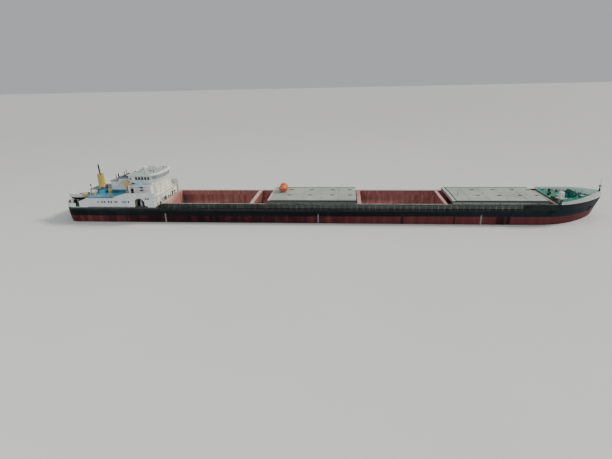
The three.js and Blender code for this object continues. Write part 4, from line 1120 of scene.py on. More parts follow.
def makeConsole():  # console, chair and wheel, seen through the panes
    inside = Shape("black")
    inside.box(-4720, -4560, -300, 300, 1132.5, 1222, "greyRoof")
    inside.prism([(-4720, 1222), (-4560, 1222), (-4560, 1236), (-4680, 1229)], "y", -300, 300)
    inside.rod((-4860, 120, 1132.5), 50, 8, "steel")
    inside.box(-4890, -4830, 85, 155, 1182, 1200)
    inside.box(-4895, -4885, 85, 155, 1200, 1265)
    inside.lathe((-4775, 0, 1228), ((32, 0), (35, 3), (32, 6), (29, 3)), "brown", "x", closed=True)
    inside.rod((-4770, 0, 1228), 50, 4, "steel", "x")
    inside.done("wheelhouseConsole", slot="steel")


makeUpperHouse(upperHouseSettings)
makeWheelhouse(wheelhouseSettings)
makeConsole()
print("upper house and wheelhouse fitted")


# Wheelhouse roof: aerials, lamps, horn and domes, at heights above it

roofSettings = {
    "posts": (
        # x, y, height, radius, finish
        (-4820, 130, 120, 4, "black"),
        (-4980, 70, 100, 4, "black"),
        (-4720, -400, 70, 5, "black"),
        (-5030, -270, 60, 5, "black"),
        (-4560, 290, 90, 4, "whiteTrim"),
        (-5080, -450, 150, 3, "whiteTrim"),
        (-5080, 480, 150, 3, "whiteTrim"),
    ),
    "domes": (
        # x, y, radius
        (-5095, 125, 28),
        (-5050, 330, 34),
        (-4880, 226, 24),
        (-4660, 260, 22),
    ),
    "searchlights": ((-4500, -320), (-4500, 320)),
    "canisters": (
        # aft end, y, length, radius
        (-5115, -170, 120, 23),
        (-5100, 215, 170, 33),
    ),
}


def makeRoofGear(s):
    gear = Shape("whiteTrim").at((0, 0, decks["roof"]))
    for x, y, tall, r, finish in s["posts"]:
        profile = ((r * 2.6, 0), (r * 2.6, 4), (r, 8), (r, tall * 0.7), (r * 0.5, tall), (0, tall))
        gear.lathe((x, y, 0), profile, finish, sides=10)
        gear.block(x, y, tall * 0.62, 12, 1.5, 3, finish)
    for x, y, r in s["domes"]:
        cap = [(r * 1.03 * a, 28 + r * 0.72 * b) for a, b in circle(1, 72)[:16:5]]
        profile = [(0, -1), (r * 0.9, -1), (r * 1.04, 4), *cap, (0, 30 + r * 0.76)]
        gear.lathe((x, y, 16), profile, "brightWhite")
        gear.lathe((x, y, 0), ((14, 0), (14, 4), (9.5, 6), (9.5, 20)))
    for x, y in s["searchlights"]:
        gear.tube([(x, y, 0), (x, y, 30)], 4, "black")
        gear.lathe((x - 14, y, 44), ((0, 0), (10, 2), (17, 12), (19, 30), (16, 30)), "black", "x", 16)
        gear.lathe((x + 15.5, y, 44), ((0, 0), (15.8, 0), (15.8, 1), (0, 3)), "lampWhite", "x")
    horn = ((5, 0), (6, 30), (9, 55), (20, 75), (17, 75), (4, 45), (0, 45))
    gear.lathe((-4740, -120, 20), horn, "bronze", "x", 16)
    gear.tube([(-4730, -120, 0), (-4730, -120, 18)], 4, "black")
    gear.lathe((-4930, 80, 0), ((30, 0), (30, 30), (26, 45), (14, 55), (0, 58)))
    gear.box(-5050, -4990, -340, -240, 2, 12)
    for x, y, long, r in s["canisters"]:
        profile = ((0, 0), (r * 0.7, 3), (r, 13), (r, long / 2 - 2), (r * 1.05, long / 2), (r, long / 2 + 2),
            (r, long - 13), (r * 0.7, long - 3), (0, long))
        gear.lathe((x, y, r + 6), profile, "brightWhite", "x")
        for share in (0.25, 0.75):
            gear.block(x + long * share, y, 0, 3, r, r * 0.5, "steel")
    gear.done("roofGear")


def makeRadar():
    scanner = Shape("whiteTrim").at((-4900, 0, decks["roof"]))
    scanner.lathe((0, -200, 43), ((14, 0), (14, 8), (10, 12), (10, 18)))
    scanner.prism([(a, 67 + b * 0.55) for a, b in roundedBox(11, 15, 6)], "y", -310, -90)
    scanner.box(10.5, 12.5, -305, -95, 61, 73, "black")
    scanner.done("radarScanner", "radar_scanner", replaces=["radar_scanner"])


makeRoofGear(roofSettings)
makeRadar()
print("wheelhouse roof fitted")


# Boat deck: casings, funnel, cowls, crane, lockers and rafts

casingSettings = {
    "half": 300,
    "louvres": (-5640, -5560),
    "eaves": (
        # from, to, roof, finish
        (-5755, -5535, 1187, "rusty"),
        (-5535, -5222, 1262, "darkBlue"),
    ),
    "roofs": (
        # x from, x to, half breadth, foot, top, finish
        (-5530, -5250, 290, 1262, 1268, "darkBlue"),
        (-5750, -5540, 305, 1187, 1189.5, "greyRoof"),
        (-5690, -5600, 200, 1187, 1206, "whiteTrim"),
        (-5695, -5595, 205, 1206, 1211, "greyRoof"),
    ),
    "pipes": (
        # x, y, foot, height, radius, finish
        (-5740, 0, 1187, 100, 8, "black"),
        (-5460, 60, 1262, 130, 9, "greyRoof"),
        (-5490, 0, 1262, 108, 7, "black"),
        (-5660, 0, 1187, 38, 6, "black"),
        (-5600, -120, 1187, 153, 13, "black"),
        (-5340, -100, 1262, 83, 6, "black"),
        (-5300, 120, 1262, 68, 6, "black"),
    ),
}


def makeCasingFittings(s):
    frames, leaves, half = Shape("whiteTrim"), Shape("whiteTrim"), s["half"]
    for side, sign in sides:
        out = (0, sign, 0)
        for x in s["louvres"]:
            frame = frames.at(wallPlace((x, sign * half, 1060), out))
            frame.ring(roundedBox(32, 45, 4), roundedBox(26, 39, 4), "z", -1, 5)
            blade = Shape("whiteTrim").at(wallPlace((x, sign * half, 1092), out))
            blade.prism([(0, 1), (-7, 5), (-7, 6), (0, 2)], "x", -26, 26)
            rows(f"louvre_{side}_{-x // 10}", blade.seed(), 9, (0, 0, -8.5), "whiteTrim", slot="white_paint")
        makeShutDoor(frames, leaves, wallPlace((-5450, sign * half, 960), out), 32, 160, "whiteTrim")
        makePorthole(frames, leaves, wallPlace((-5320, sign * half, 1080), out), 17)
        for x0, x1, z, finish in s["eaves"]:
            frames.tube([(x0, sign * 312, z - 8), (x1, sign * 312, z - 8)], 9, finish, sides=6)
        frames.tube([(-6360, sign * 310, 945), (-6060, sign * 310, 945)], 5, "black", sides=6)
    for x0, x1, z, finish in s["eaves"]:
        frames.tube([(x0, -312, z - 8), (x0, 312, z - 8)], 9, finish, sides=6)
    for x0, x1, wide, z0, z1, finish in s["roofs"]:
        frames.box(x0, x1, -wide, wide, z0, z1, finish)
    for x, y, z, tall, r, finish in s["pipes"]:
        profile = ((r * 2, 0), (r * 2, 4), (r * 1.15, 8), (r * 1.1, tall + 1), (0, tall + 3))
        frames.lathe((x, y, z), profile, finish, sides=12)
    frames.lathe((-5660, 0, 1225), ((6, 0), (15, 4), (17, 24), (10, 30), (0, 32)), "black")
    frames.lathe((-5460, 60, 1392), ((10, 0), (14, 4), (12, 14), (0, 18)), "greyRoof")
    frames.done("casingFrames")
    leaves.done("casingDoors")


makeCasingFittings(casingSettings)


funnelSettings = {
    "x": -6188,
    "foot": 952.3,
    "top": 1301,
    "radius": 84,
    "bands": (90, 200),
    "rungs": 14,
    "exhaustTall": 266,
    "exhaustRadius": 19.5,
    "lean": -0.06,
}


def makeFunnel(s):
    r, tall = s["radius"], s["top"] - s["foot"]
    shell = Shape("yellow").at((s["x"], 0, s["foot"]))
    shell.lathe((0, 0, 0), ((r + 20.5, 0), (r + 20.5, 6), (r + 8.5, 20), (r + 4.5, tall * 0.3),
        (r + 4, tall * 0.31), (r + 1, tall - 14), (r + 4.5, tall - 12), (r + 4.5, tall - 3), (r, tall),
        (r - 8, tall), (r - 10, tall - 30), (0, tall - 30)), sides=40)
    for z in s["bands"]:
        shell.lathe((0, 0, z), ((r + 6, 0), (r + 9, 3), (r + 5.5, 6), (r + 2, 3)), closed=True, sides=40)
    for k in range(s["rungs"]):  # up the after side
        z = 30 + k * 22
        shell.tube([(-r, -14, z), (-r - 14, -14, z), (-r - 14, 14, z), (-r, 14, z)], 1.4, sides=5)
    shell.done("funnelShell", slot="yellow_paint", replaces=["funnel"], angle=40)


def makeExhaust(s):
    tall, r = s["exhaustTall"], s["exhaustRadius"]
    up = Vector((math.sin(s["lean"]), 0, math.cos(s["lean"])))
    foot = Matrix.Translation((s["x"] - 1, 0, s["top"] + 0.3))
    pipe = Shape("black").at(foot @ up.to_track_quat("Z", "Y").to_matrix().to_4x4())
    pipe.lathe((0, 0, -0.6), ((30, 0), (30, 5), (21.5, 9), (r, 13), (r, tall * 0.45),
        (r + 1.5, tall * 0.455), (r + 1.5, tall * 0.47), (r, tall * 0.475), (r, tall - 6),
        (r + 2, tall - 4), (r + 2, tall), (r - 4, tall), (r - 5, tall - 30), (0, tall - 30)))
    for side in (-1, 1):
        pipe.tube([(0, side * r, tall * 0.6), (0, side * 70, 4)], 1.2, sides=5)
    pipe.done("exhaust", slot="black_paint", replaces=["exhaust_pipe"])


makeFunnel(funnelSettings)
makeExhaust(funnelSettings)


cowlSettings = (
    # name, x, off the middle, height, radius
    ("cowl_large", -5708, 500, 158, 32),
    ("cowl_small", -6110, 560, 82, 20),
)


def makeCowl(name, x, y, height, r):  # a stem that turns into a flared mouth, open and dark inside
    axis = height - r
    shape = Shape("yellow").at((x, y, decks["boat"] + 0.3))
    turn = arcPath((r * 0.55, 0, axis - r * 0.55), r * 0.55, 180, 90, 6)
    mouthSteps = ((1.3, 0), (1.6, 0), (1.58, 0), (1.2, 0), (0.7, 0), (0.25, 0.2))
    mouth = [(r * out, 0, axis - r * drop) for out, drop in mouthSteps]
    widths = (0.98, 0.98, *(1 + 0.02 * i for i in range(7)), 1.38, 1.52, 1.42, 1.2, 0.95, 0.75)
    shape.tube([(0, 0, 0), (0, 0, 12), *turn, *mouth], [r * width for width in widths], sides=18)
    shape.lathe((0, 0, 0), ((r * 1.35, 0), (r * 1.35, 4), (r, 7), (r * 0.9, 4)), closed=True, sides=18)
    for up in (0.35, 0.6):
        band = ((r, 0), (r * 1.06, 1.5), (r, 3), (r * 0.9, 1.5))
        shape.lathe((0, 0, (height - 2 * r) * up), band, closed=True, sides=18)
    shape.done(name + "_cowl", slot="yellow_paint", replaces=[name], angle=50)


for name, x, off, height, radius in cowlSettings:
    for side, sign in sides:
        makeCowl(f"{name}_{side}", x, sign * off, height, radius)


craneSettings = {
    "x": -5185,
    "y": -560,
    "foot": 997.6,
    "cheek": ((24, 118), (24, 234), (8, 252), (-22, 252), (-30, 240), (-12, 112)),
    "boom": ((-20, 247), (-100, 223), (-190, 151), (-190, 133), (-105, 190), (-20, 215)),
    "house": ((54, 100), (56, 240), (38, 254), (-34, 254), (-48, 238), (-38, 100)),
}


def makeCrane(s):
    shape = Shape("tan").at((s["x"], s["y"], s["foot"]))
    column = ((26, 0), (26, 12), (23.5, 14), (20.5, 148), (19.5, 150), (0, 151))
    shape.lathe((0, 0, 0), column, "yellow", sides=24)
    shape.lathe((0, 0, 1), ((26.2, 0), (27.5, 2), (27.5, 8), (26.2, 10)), "black", closed=True, sides=24)
    for face in (-1, 1):
        shape.prism(s["cheek"], "y", face * 18.5, face * 14.5)
        shape.prism(s["boom"], "y", face * 12.5, face * 9.5)
        shape.prism(s["house"], "y", face * 19, face * 34, "yellow")
        shape.prism([(a * 0.6, 72 + b * 0.6) for a, b in s["house"]], "y", face * 34, face * 36.5)
    for k in range(9):  # lattice between the boom's sides
        web = Vector((-20, 0, 225)).lerp((-185, 0, 139), k / 8)
        shape.block(*web, 2, 11.5, 12)
    shape.tube([(10, 0, 135), (-60, 0, 180)], 6.5, "steel", sides=10)
    shape.tube([(-60, 0, 180), (-105, 0, 205)], 3.8, "steel", sides=10)
    shape.box(-60, -24, -14, 14, 110, 135)
    shape.box(30, 52, -19, 19, 105, 238)
    drum = ((21.5, 0), (21.5, 3), (13, 3), (13, 34), (21.5, 34), (21.5, 37), (0, 37))
    shape.lathe((8, -18.5, 70), drum, "black", "y", 18)
    for k in range(7):
        turn = ((14.5, -1.8), (16.5, 0), (14.5, 1.8), (12.5, 0))
        shape.lathe((8, -13.5 + k * 4.2, 70), turn, "steel", "y", 16, closed=True)
    shape.lathe((-186, -4, 142), ((9, 0), (7, 4), (9, 8), (0, 8)), "black", "y", 14)
    shape.tube([(-194, 0, 142), (-186, 0, 132), (-180, 0, 120), (-180, 0, 112)], 1.2, "black", sides=5)
    shape.lathe((-180, 0, 98), ((0, 0), (4, 2), (5.5, 8), (3, 14), (0, 16)), "black")
    shape.tube(arcPath((-180, 0, 96.5), 3.5, 90, -150, 8, "yz"), 1.2, "black", sides=6)
    shape.tube([(20, 0, 150), (12, 0, 247), (-20, 0, 249), (-190, 0, 150)], 0.9, "steel", sides=5)
    shape.done("deckCrane", "crane", "yellow_paint", ["crane"], angle=40)
    pedestal = Shape("tan").at((s["x"], s["y"], decks["boat"]))
    pedestal.lathe((0, 0, 0), ((45, 0), (45, 4), (30.2, 9), (29.5, 128), (35.5, 132), (35.5, 139.7),
        (20, 139.7), (20, 0)), closed=True, sides=24)
    for k in range(8):
        bracket = pedestal.at(Matrix.Rotation(k * math.pi / 4, 4, "Z"))
        bracket.prism([(29, 3), (43, 3), (29, 35)], "y", -1.2, 1.2)
    pedestal.done("cranePedestal", slot="yellow_paint")


makeCrane(craneSettings)


boatDeckSettings = {
    "rafts": ((-5920, 620), (-5400, 620)),
    "lockers": (
        # x from, x to, y from, y to, height, finish
        (-6040, -5880, -450, -340, 75, "brightBlue"),
        (-5980, -5860, 340, 440, 60, "brightBlue"),
        (-5600, -5500, 360, 440, 50, "whiteTrim"),
    ),
    "vents": ((-6000, 660), (-5300, 700), (-5600, 700)),
    "knees": ((-5300, 45), (-5100, 100), (-4900, 100), (-4700, 100), (-4500, 100)),
}


def makeLockers(s):
    gear = Shape("whiteTrim")
    deck = gear.at((0, 0, decks["boat"]))
    for x0, x1, y0, y1, tall, finish in s["lockers"]:
        deck.box(x0, x1, y0, y1, 0, tall, finish)
        deck.box(x0 - 3, x1 + 3, y0 - 3, y1 + 3, tall, tall + 6, finish)
        for x in (x0 + 30, x1 - 30):
            deck.box(x - 4, x + 4, y0 - 6, y0, tall - 12, tall + 4, "steel")
    for x, y in s["vents"]:
        deck.lathe((x, y, 0), ((11, 0), (11, 28), (19, 30), (19, 36), (12, 43), (0, 45)), sides=16)
    gear.box(-5975, -5925, -225, -175, 940, 1040, "red")
    gear.lathe((-5950, -200, 1040), ((20, 0), (20, 8), (12, 14), (0, 15)), "red", sides=16)
    deck.tube([(-6170, -700, 0), (-6170, -700, 60)], 6, "black")
    reel = ((0, 0), (30, 1), (34, 6), (34, 34), (30, 39), (0, 40))
    deck.lathe((-6170, -720, 85), reel, "black", "y")
    gear.done("boatDeckLockers", slot="deck_blue", bevel=1)


def makeRafts(s):
    rafts = Shape("whiteTrim")
    canister = ((0, 0), (22, 4), (30.5, 14), (31, 64), (33, 65), (31, 66), (30.5, 116), (22, 126), (0, 130))
    for x, y in s["rafts"]:
        raft = rafts.at((x, y, decks["boat"]))
        raft.lathe((-65, 0, 42), canister, axis="x")
        for dx in (-35, 35):
            raft.prism([(-34, 0), (34, 0), (30, 18), (0, 12.5), (-30, 18)], "x", dx - 3, dx + 3, "steel")
            raft.tube([(dx, a, 42 + b) for a, b in circle(32, 12)[:7]], 1.5, "black", sides=5)
    rafts.done("lifeRafts")


def makeDeckTrims(s):
    trims = Shape("whiteTrim")
    for side, sign in sides:
        trim = trims.at(toSide(sign))
        # painted shadow: a black line under the boat deck's edge
        trim.tube([(-6200, 820.5, 853.3), (-5450, 820.5, 853.3)], 7, "black", sides=6)
        trim.tube([(-5450, 820.5, 868), (-5100, 820.5, 968.5), (-4335, 820.5, 968.5)], 4.5, sides=6)
        for x, tall in s["knees"]:
            z = decks["boat"]
            trim.prism([(809.5, z), (774.5, z), (809.5, z + tall)], "x", x - 2, x + 2)
    trims.done("boatDeckTrims")


makeLockers(boatDeckSettings)
makeRafts(boatDeckSettings)
makeDeckTrims(boatDeckSettings)


bridgeGearSettings = {
    "rings": ((-5005, -730.5, 1185), (-5005, 730.5, 1185), (-6100, 812, 920)),
    "ringQuarter": (
        # start, span in degrees, radius, finish
        (0, 60, 7.2, "orange"),
        (60, 30, 7.5, "whiteTrim"),
    ),
    "lamp": (-4900, 731, 1200),
    "cloth": (-4850, -4652, 1137, 1236),  # from, to, low, high
    "clothY": 729.5,
}


def makeLifeRings(s):
    rings = Shape()
    for x, y, z in s["rings"]:
        ring = rings.at(wallPlace((x, y, z), (0, y, 0)))
        for quarter in (0, 90, 180, 270):
            for start, span, thick, finish in s["ringQuarter"]:
                start += quarter
                ring.tube(arcPath((0, 0, 6), 27, start, start + span, 5, "xy"), thick, finish)
        ring.tube(arcPath((0, 0, 6), 36.5, 0, 350, 16, "xy"), 1.1, "rope", sides=5)
        ring.box(-6, 6, -2, 2, -6, 0, "steel")
    rings.done("lifeRings", slot="boat_orange")


def makeSideLamps(s):  # port shows red and starboard green, each before a screen on the bridge wing
    x, y, z = s["lamp"]
    for side, sign in sides:
        lamp = Shape("black").at(toSide(sign) @ Matrix.Translation((x, y, z)))
        lamp.box(-40, 40, -2, 2, -12, 28)
        lamp.box(-40, -36, 0, 26, -12, 28)
        lantern = ((11, 0), (11, 5), (9, 7), (9, 24), (11, 26), (11, 30), (0, 34))
        lamp.lathe((-20, 14, -10), lantern, sides=16)
        glass = "lampGreen" if sign < 0 else "lampRed"
        lamp.lathe((-20, 14, -3), ((9.6, 0), (10.1, 8), (9.6, 16)), glass, sides=16)
        lamp.done(f"sideLamp_{side}", slot="black_paint")


def makeDodgers(s, steps=14, thick=1.2):  # pale blue wind cloths laced along the bridge wings' rails
    cloth = Shape("paleBlue")
    start, end, low, high = s["cloth"]
    for side, sign in sides:
        rings = []
        for k in range(steps + 1):
            x = start + (end - start) * k / steps
            y = sign * s["clothY"] + thick * math.sin(k * math.pi / 2)
            outer = y + sign * thick
            rings.append([(x, y, low), (x, outer, low), (x, outer, high), (x, y, high)])
        cloth.loft(rings)
    cloth.done("bridgeDodgers", slot="deck_blue")


makeLifeRings(bridgeGearSettings)
makeSideLamps(bridgeGearSettings)
makeDodgers(bridgeGearSettings)
print("boat deck fitted")


# Stern: tender on its chocks, winch, bollards, fairleads, staff

tenderSettings = {
    "y": -450,
    "half": 85,
    "keel": 700,
    "gunwale": 868,
    "sections": (
        # x, breadth share, keel rise, gunwale rise
        (-6905, 0.06, 158, 42),
        (-6885, 0.3, 110, 36),
        (-6860, 0.56, 70, 30),
        (-6820, 0.78, 35, 20),
        (-6770, 0.92, 14, 10),
        (-6700, 0.99, 3, 2),
        (-6600, 1.0, 0, 0),
        (-6500, 0.96, 1, 0),
        (-6450, 0.9, 5, 2),
        (-6415, 0.8, 12, 4),
    ),
    "frame": ((0, 0), (0.3, 0.03), (0.6, 0.12), (0.82, 0.32), (0.94, 0.55), (0.985, 0.8), (1, 1)),
    "thick": 6,
    "thwarts": (-6740, -6600, -6470),
    "fenders": ((-6830, 0.78), (-6760, 0.98), (-6690, 0.98), (-6620, 0.98), (-6550, 0.98), (-6480, 0.98)),
    "tent": (
        # x, breadth share, foot, rise, drop
        (-6500, 0.96, 866, 8, 20),
        (-6485, 0.96, 868, 24, 50),
        (-6460, 0.93, 870, 36, 62),
        (-6430, 0.88, 872, 40, 68),
        (-6405, 0.8, 874, 32, 66),
        (-6395, 0.7, 870, 20, 50),
    ),
    "chocks": (-6770, -6510),
    "saddle": ((60, 0), (60, 20), (50, 60), (66, 118), (40, 108), (0, 105.5)),
}


def bothHalves(half, centre=1):  # an outline from half of it, whose last points lie on the middle line
    return [*half, *((-a, b) for a, b in reversed(half[:len(half) - centre]))]


def makeTender(s):
    hull, half = Shape("whiteTrim").at((0, s["y"], 0)), s["half"]

    def section(broad, rise, sheer, thin=0):
        foot, edge = s["keel"] + rise + thin, s["gunwale"] + sheer
        return [(max(half * broad * share - thin, 0), foot + (edge - foot) * up) for share, up in s["frame"]]

    rings = []
    for x, *form in s["sections"]:
        out, within = section(*form), section(*form, s["thick"])
        outline = bothHalves(out[::-1]) + [(-a, z) for a, z in bothHalves(within[::-1])]
        rings.append([(x, a, z) for a, z in outline])
    hull.loft(rings, "tenderPaint")
    edge = [(x, half * broad, s["gunwale"] + sheer) for x, broad, rise, sheer in s["sections"]]
    hull.tube([(x, -a, z) for x, a, z in reversed(edge)] + edge, 5)
    keelLine = [(x, 0, s["keel"] + rise - 2) for x, broad, rise, sheer in s["sections"]]
    hull.tube(keelLine, 3.5, "black", sides=6)
    for x in s["thwarts"]:
        hull.block(x, 0, 842, 14, 78, 6, "tan")
    for x, share in s["fenders"]:
        for sign in (-1, 1):
            fender = ((0, 0), (7, 4), (8.5, 12), (7, 20), (0, 24))
            hull.lathe((x, sign * (half * share + 4), 842), fender, sides=10)
    hull.done("tenderBoat", replaces=["tender"], angle=50)
    cover = Shape("canvas").at((0, s["y"], 0))
    rings = []
    for x, broad, low, rise, drop in s["tent"]:
        wide = half * broad + 7
        top = [(x, wide * a, low + rise * b) for a, b in reversed(circle(1, 16)[:9])]
        rings.append([(x, -wide * 0.97, low - drop), *top, (x, wide * 0.97, low - drop)])
    cover.loft(rings, "tan")
    sheet = []
    for x, broad, rise, sheer in s["sections"][:7]:
        wide, high = half * broad + 3, s["gunwale"] + sheer
        fold = bothHalves([(-wide, high - 6), (-wide * 0.98, high + 4), (0, high + 13)])
        sheet.append([(x, a, z) for a, z in fold])
    cover.loft(sheet)
    cover.done("tenderCanvas", angle=60)
    chocks = Shape("black").at((0, s["y"], 595.3))
    for x in s["chocks"]:
        chocks.prism(bothHalves(s["saddle"]), "x", x, x + 18)
        for y in (-70, 70):
            chocks.tube([(x + 9, y, 0), (x + 9, y * 0.9, 104.7)], 4)
    chocks.box(-6760, -6500, -6, 6, 0, 22.7)
    chocks.done("tenderCradle", slot="black_paint", replaces=["tender_chocks"])


makeTender(tenderSettings)


sternWinchSettings = {
    "at": (-6640, 0, 595.3), "half": 230, "reach": 90, "drum": 50, "axle": 62, "drums": 110,
}


def makeWinch(name, s, finish, slot, node, rope):
    half, reach, r, axle = s["half"], s["reach"], s["drum"], s["axle"]
    shape = Shape(finish).at(s["at"])
    shape.box(-reach, reach, -half, half, 0, 8)
    stand = [(-30, 5), (30, 5), (17, axle), (12, axle + 12), (-12, axle + 12), (-17, axle)]
    for y in (30 - half, 0, half - 30):
        shape.prism(stand, "y", y - 6, y + 6)
        shape.lathe((0, y - 9, axle), ((14, 0), (14, 18), (0, 18)), axis="y", sides=14)
    shape.rod((0, -half - 40, axle), half * 2 + 80, 8, "steel", "y")
    for y in (-s["drums"], s["drums"]):
        drum = ((r, 0), (r, 4), (r * 0.62, 4), (r * 0.62, 64), (r, 64), (r, 68), (0, 68))
        shape.lathe((0, y - 34, axle), drum, axis="y", sides=28)
        for k in range(9):
            turn = ((r * 0.62, -3.2), (r * 0.62 + 5.8, 0), (r * 0.62, 3.2), (r * 0.55, 0))
            shape.lathe((0, y - 26.5 + k * 6.6, axle), turn, rope, "y", 24, closed=True)
        for flange in (-32, 32):
            rim = ((r - 2, -3.5), (r + 2.5, -3.5), (r + 2.5, 3.5), (r - 2, 3.5))
            shape.lathe((0, y + flange, axle), rim, "black", "y", 28, closed=True)
        for a, b in circle(r * 0.84, 12):
            shape.rod((a, y - 35.5, axle + b), 2.5, 3.5, axis="y", sides=6)
    head = ((17.5, 0), (19.5, 2), (12, 9), (11.5, 20), (16.5, 29), (19.5, 32), (0, 33))
    for y in (-half - 24, half + 24):
        shape.lathe((0, y - 16, axle), head, axis="y")
    shape.box(r * 0.62, reach - 6, -45, 45, 8, axle * 0.7)
    motor = ((0, 0), (18, 1), (22, 6), (22, 66), (18, 72), (0, 73))
    shape.lathe((r * 0.9, -40, axle * 0.9), motor, axis="y", sides=18)
    shape.lathe((0, 12, axle), ((38, 0), (38, 14), (0, 14)), axis="y", sides=28)
    shape.box(4 - reach, -r * 0.66, -36, 36, 8, axle * 0.8)
    for y in (-25, 0, 25):
        shape.tube([(20 - reach, y, axle * 0.8), (10 - reach, y, axle * 0.8 + 30)], 2, "black", sides=6)
        shape.lathe((10 - reach, y, axle * 0.8 + 29), ((0, 0), (4, 2), (4, 6), (0, 8)), "black", sides=8)
    shape.done(name, slot=slot, replaces=[node], angle=40)


makeWinch("sternWinch", sternWinchSettings, "black", "black_paint", "stern_winch", "rope")


sternSettings = {
    "bollards": ((-6420, 690), (-6420, -690)),
    "rollers": (-6500, -6450),
    "caps": ((-6700, 620), (-6300, -300)),
    "coil": (-6780, 280),
    "stairs": 560,
}


def makeBollards(name, places, deck, finish, slot, gap=22):
    shape = Shape(finish)
    post = ((9.6, 3), (9.4, 20), (9.8, 23.5), (12.5, 24.5), (12.5, 29), (9, 31.5), (0, 32))
    for x, y in places:
        shape.block(x, y, deck - 1, gap + 17, 12.5, 5.5)
        for dx in (-gap, gap):
            shape.lathe((x + dx, y, deck), post, sides=16)
    shape.done(name, slot=slot)


def makeSternGear(s):
    gear = Shape("black")
    deck = gear.at((0, 0, decks["quarter"]))
    for side, sign in sides:  # roller fairleads in the open ports of the bulwark
        port = deck.at((0, sign * 808, 0))
        port.box(-6522, -6425, -14, 11, 15.5, 24)
        for x in s["rollers"]:
            roller = ((13, 0), (13, 4), (9, 8), (9, 40), (13, 44), (13, 48), (6, 52), (0, 52))
            port.lathe((x, -2, 24), roller, sides=16)
        for x in (-6522, -6430):
            port.prism([(-12, 20), (10, 20), (6, 92), (-6, 92)], "x", x, x + 6)
        port.box(-6522, -6424, -6, 6, 90, 96)
        edge = ((-6200, 842), (-6240, 807), (-6290, 756), (-6350, 713), (-6414, 692.5))
        gear.tube([(x, sign * 819, z) for x, z in edge], 4.5, "whiteTrim", sides=6)
    gear.tube([(-6345, -280, 951), (-6345, -280, 1045)], 6)
    gear.lathe((-6345, -280, 1040), ((8, 0), (19, 4), (19, 35), (9, 45), (0, 47)), sides=14)
    deck.box(-6330, -6270, 200, 260, 0, 50, "whiteTrim")
    deck.box(-6335, -6265, 195, 265, 50, 55, "greyRoof")
    deck.lathe((-6800, 400, 0), ((34, 0), (34, 10), (20, 16), (16.5, 40), (26, 52), (26, 58), (0, 60)))
    deck.lathe((-6770, -135, 0), ((25, 0), (25, 12), (12, 20), (12, 45), (20, 50), (0, 54)), sides=16)
    for x, y in s["caps"]:
        deck.lathe((x, y, 0), ((30, 0), (30, 14), (26, 18), (0, 19)), "greyRoof")
        deck.tube(arcPath((x, y, 19), 10, 0, 180, 6), 1.5, "steel", sides=5)
    gear.done("sternGear", slot="black_paint")


def makeEnsignStaff():
    staff = Shape("whiteTrim").at((-6920, 0, 0))
    staff.tube([(0, 0, 640), (0, 0, 872)], 4.5, sides=10)
    staff.lathe((0, 0, 868), ((4.5, 0), (6.2, 3), (4, 6), (0, 7)), sides=10)
    staff.lathe((5, 0, 715), ((6, 0), (8, 3), (8, 14), (6, 18), (0, 19)), "lampWhite", sides=12)
    staff.done("ensignStaff")


def makeSternRope(s):
    coil = Shape("rope").at((*s["coil"], decks["quarter"]))
    for turn in range(5):
        for layer in range(2):
            radius = 50 - turn * 7.5 - layer * 3
            coil.tube([(a, b, 4 + layer * 6.8) for a, b in circle(radius, 24)], 3.6, sides=6, closed=True)
    coil.done("sternRope", slot="black_paint")


def makeStairs(s):
    rails = Shape("rail")
    low, high, up = Vector((-6370, 0, 600)), Vector((-6203, 0, 860)), Vector((0, 0, 85))
    middle = low.lerp(high, 0.5)
    for side, sign in sides:
        y = sign * s["stairs"]
        for edge in (-38, 38):
            rail = rails.at((0, y + edge, 0))
            rail.tube([low, low + up, high + up, high + up + Vector((40, 0, 0))], 1.9, sides=6)
            rail.tube([low + up * 0.5, high + up * 0.5], 1.5, sides=6)
            rail.tube([middle, middle + up], 1.9, sides=6)
        tread = seedBox(-6350.5, -6328, y - 34.5, y + 34.5, 628, 630.5)
        rows(f"stairTreads_{side}", tread, 7, (21.25, 0, 32.8), "greyRoof", slot="deck_blue")
    rails.done("stairRails", slot="rail_paint")


makeBollards("sternBollards", sternSettings["bollards"], decks["quarter"], "black", "black_paint")
makeSternGear(sternSettings)
makeEnsignStaff()
makeSternRope(sternSettings)
makeStairs(sternSettings)
print("stern fitted")


# Holds, coaming and side decks

holdSettings = {
    "mouths": ((-4180, -1920), (-1820, 830), (930, 2960), (3040, 5560)),
    "half": 660,
    "floor": 90,
    "ribEvery": 150,
    "ladder": (420, 470),
    "stringer": ((2, 655), (14, 645), (14, 120), (2, 100)),
    "rungs": 17,
}


def makeHolds(s):
    half, floor, every = s["half"], s["floor"], s["ribEvery"]
    ladders = Shape("rusty")
    for hold, (x0, x1) in enumerate(s["mouths"], 1):
        count = int((x1 - x0 - 100) / every)
        x = (x0 + x1 - (count - 1) * every) / 2
        rib = seedBox(x - 3, x + 3, half - 8, half, floor, 540)
        more = {"across": 2, "slot": "coaming_red"}
        rows(f"holdRibs_{hold}", rib, count, (every, 0, 0), "holdRed",
            acrossStep=(0, 8 - 2 * half, 0), **more)
        rib = seedBox(x0, x0 + 7, -603, -597, floor, 600)
        # painted light: the first hold's bulkhead ribs in the sunlit salmon
        finish = "salmon" if hold == 1 else "holdRed"
        rows(f"bulkheadRibs_{hold}", rib, 9, (0, 150, 0), finish, acrossStep=(x1 - x0 - 7, 0, 0), **more)
        for x, inward in ((x0, 1), (x1, -1)):
            for y in s["ladder"]:
                stringer = [(x + inward * a, y, z) for a, z in s["stringer"]]
                ladders.tube(stringer, 2.5, sides=6)
            for k in range(s["rungs"]):
                ladders.rod((x + inward * 14, s["ladder"][0], 130 + k * 31), 50, 1.8, axis="y", sides=6)
    ladders.done("holdLadders", slot="coaming_red")


makeHolds(holdSettings)


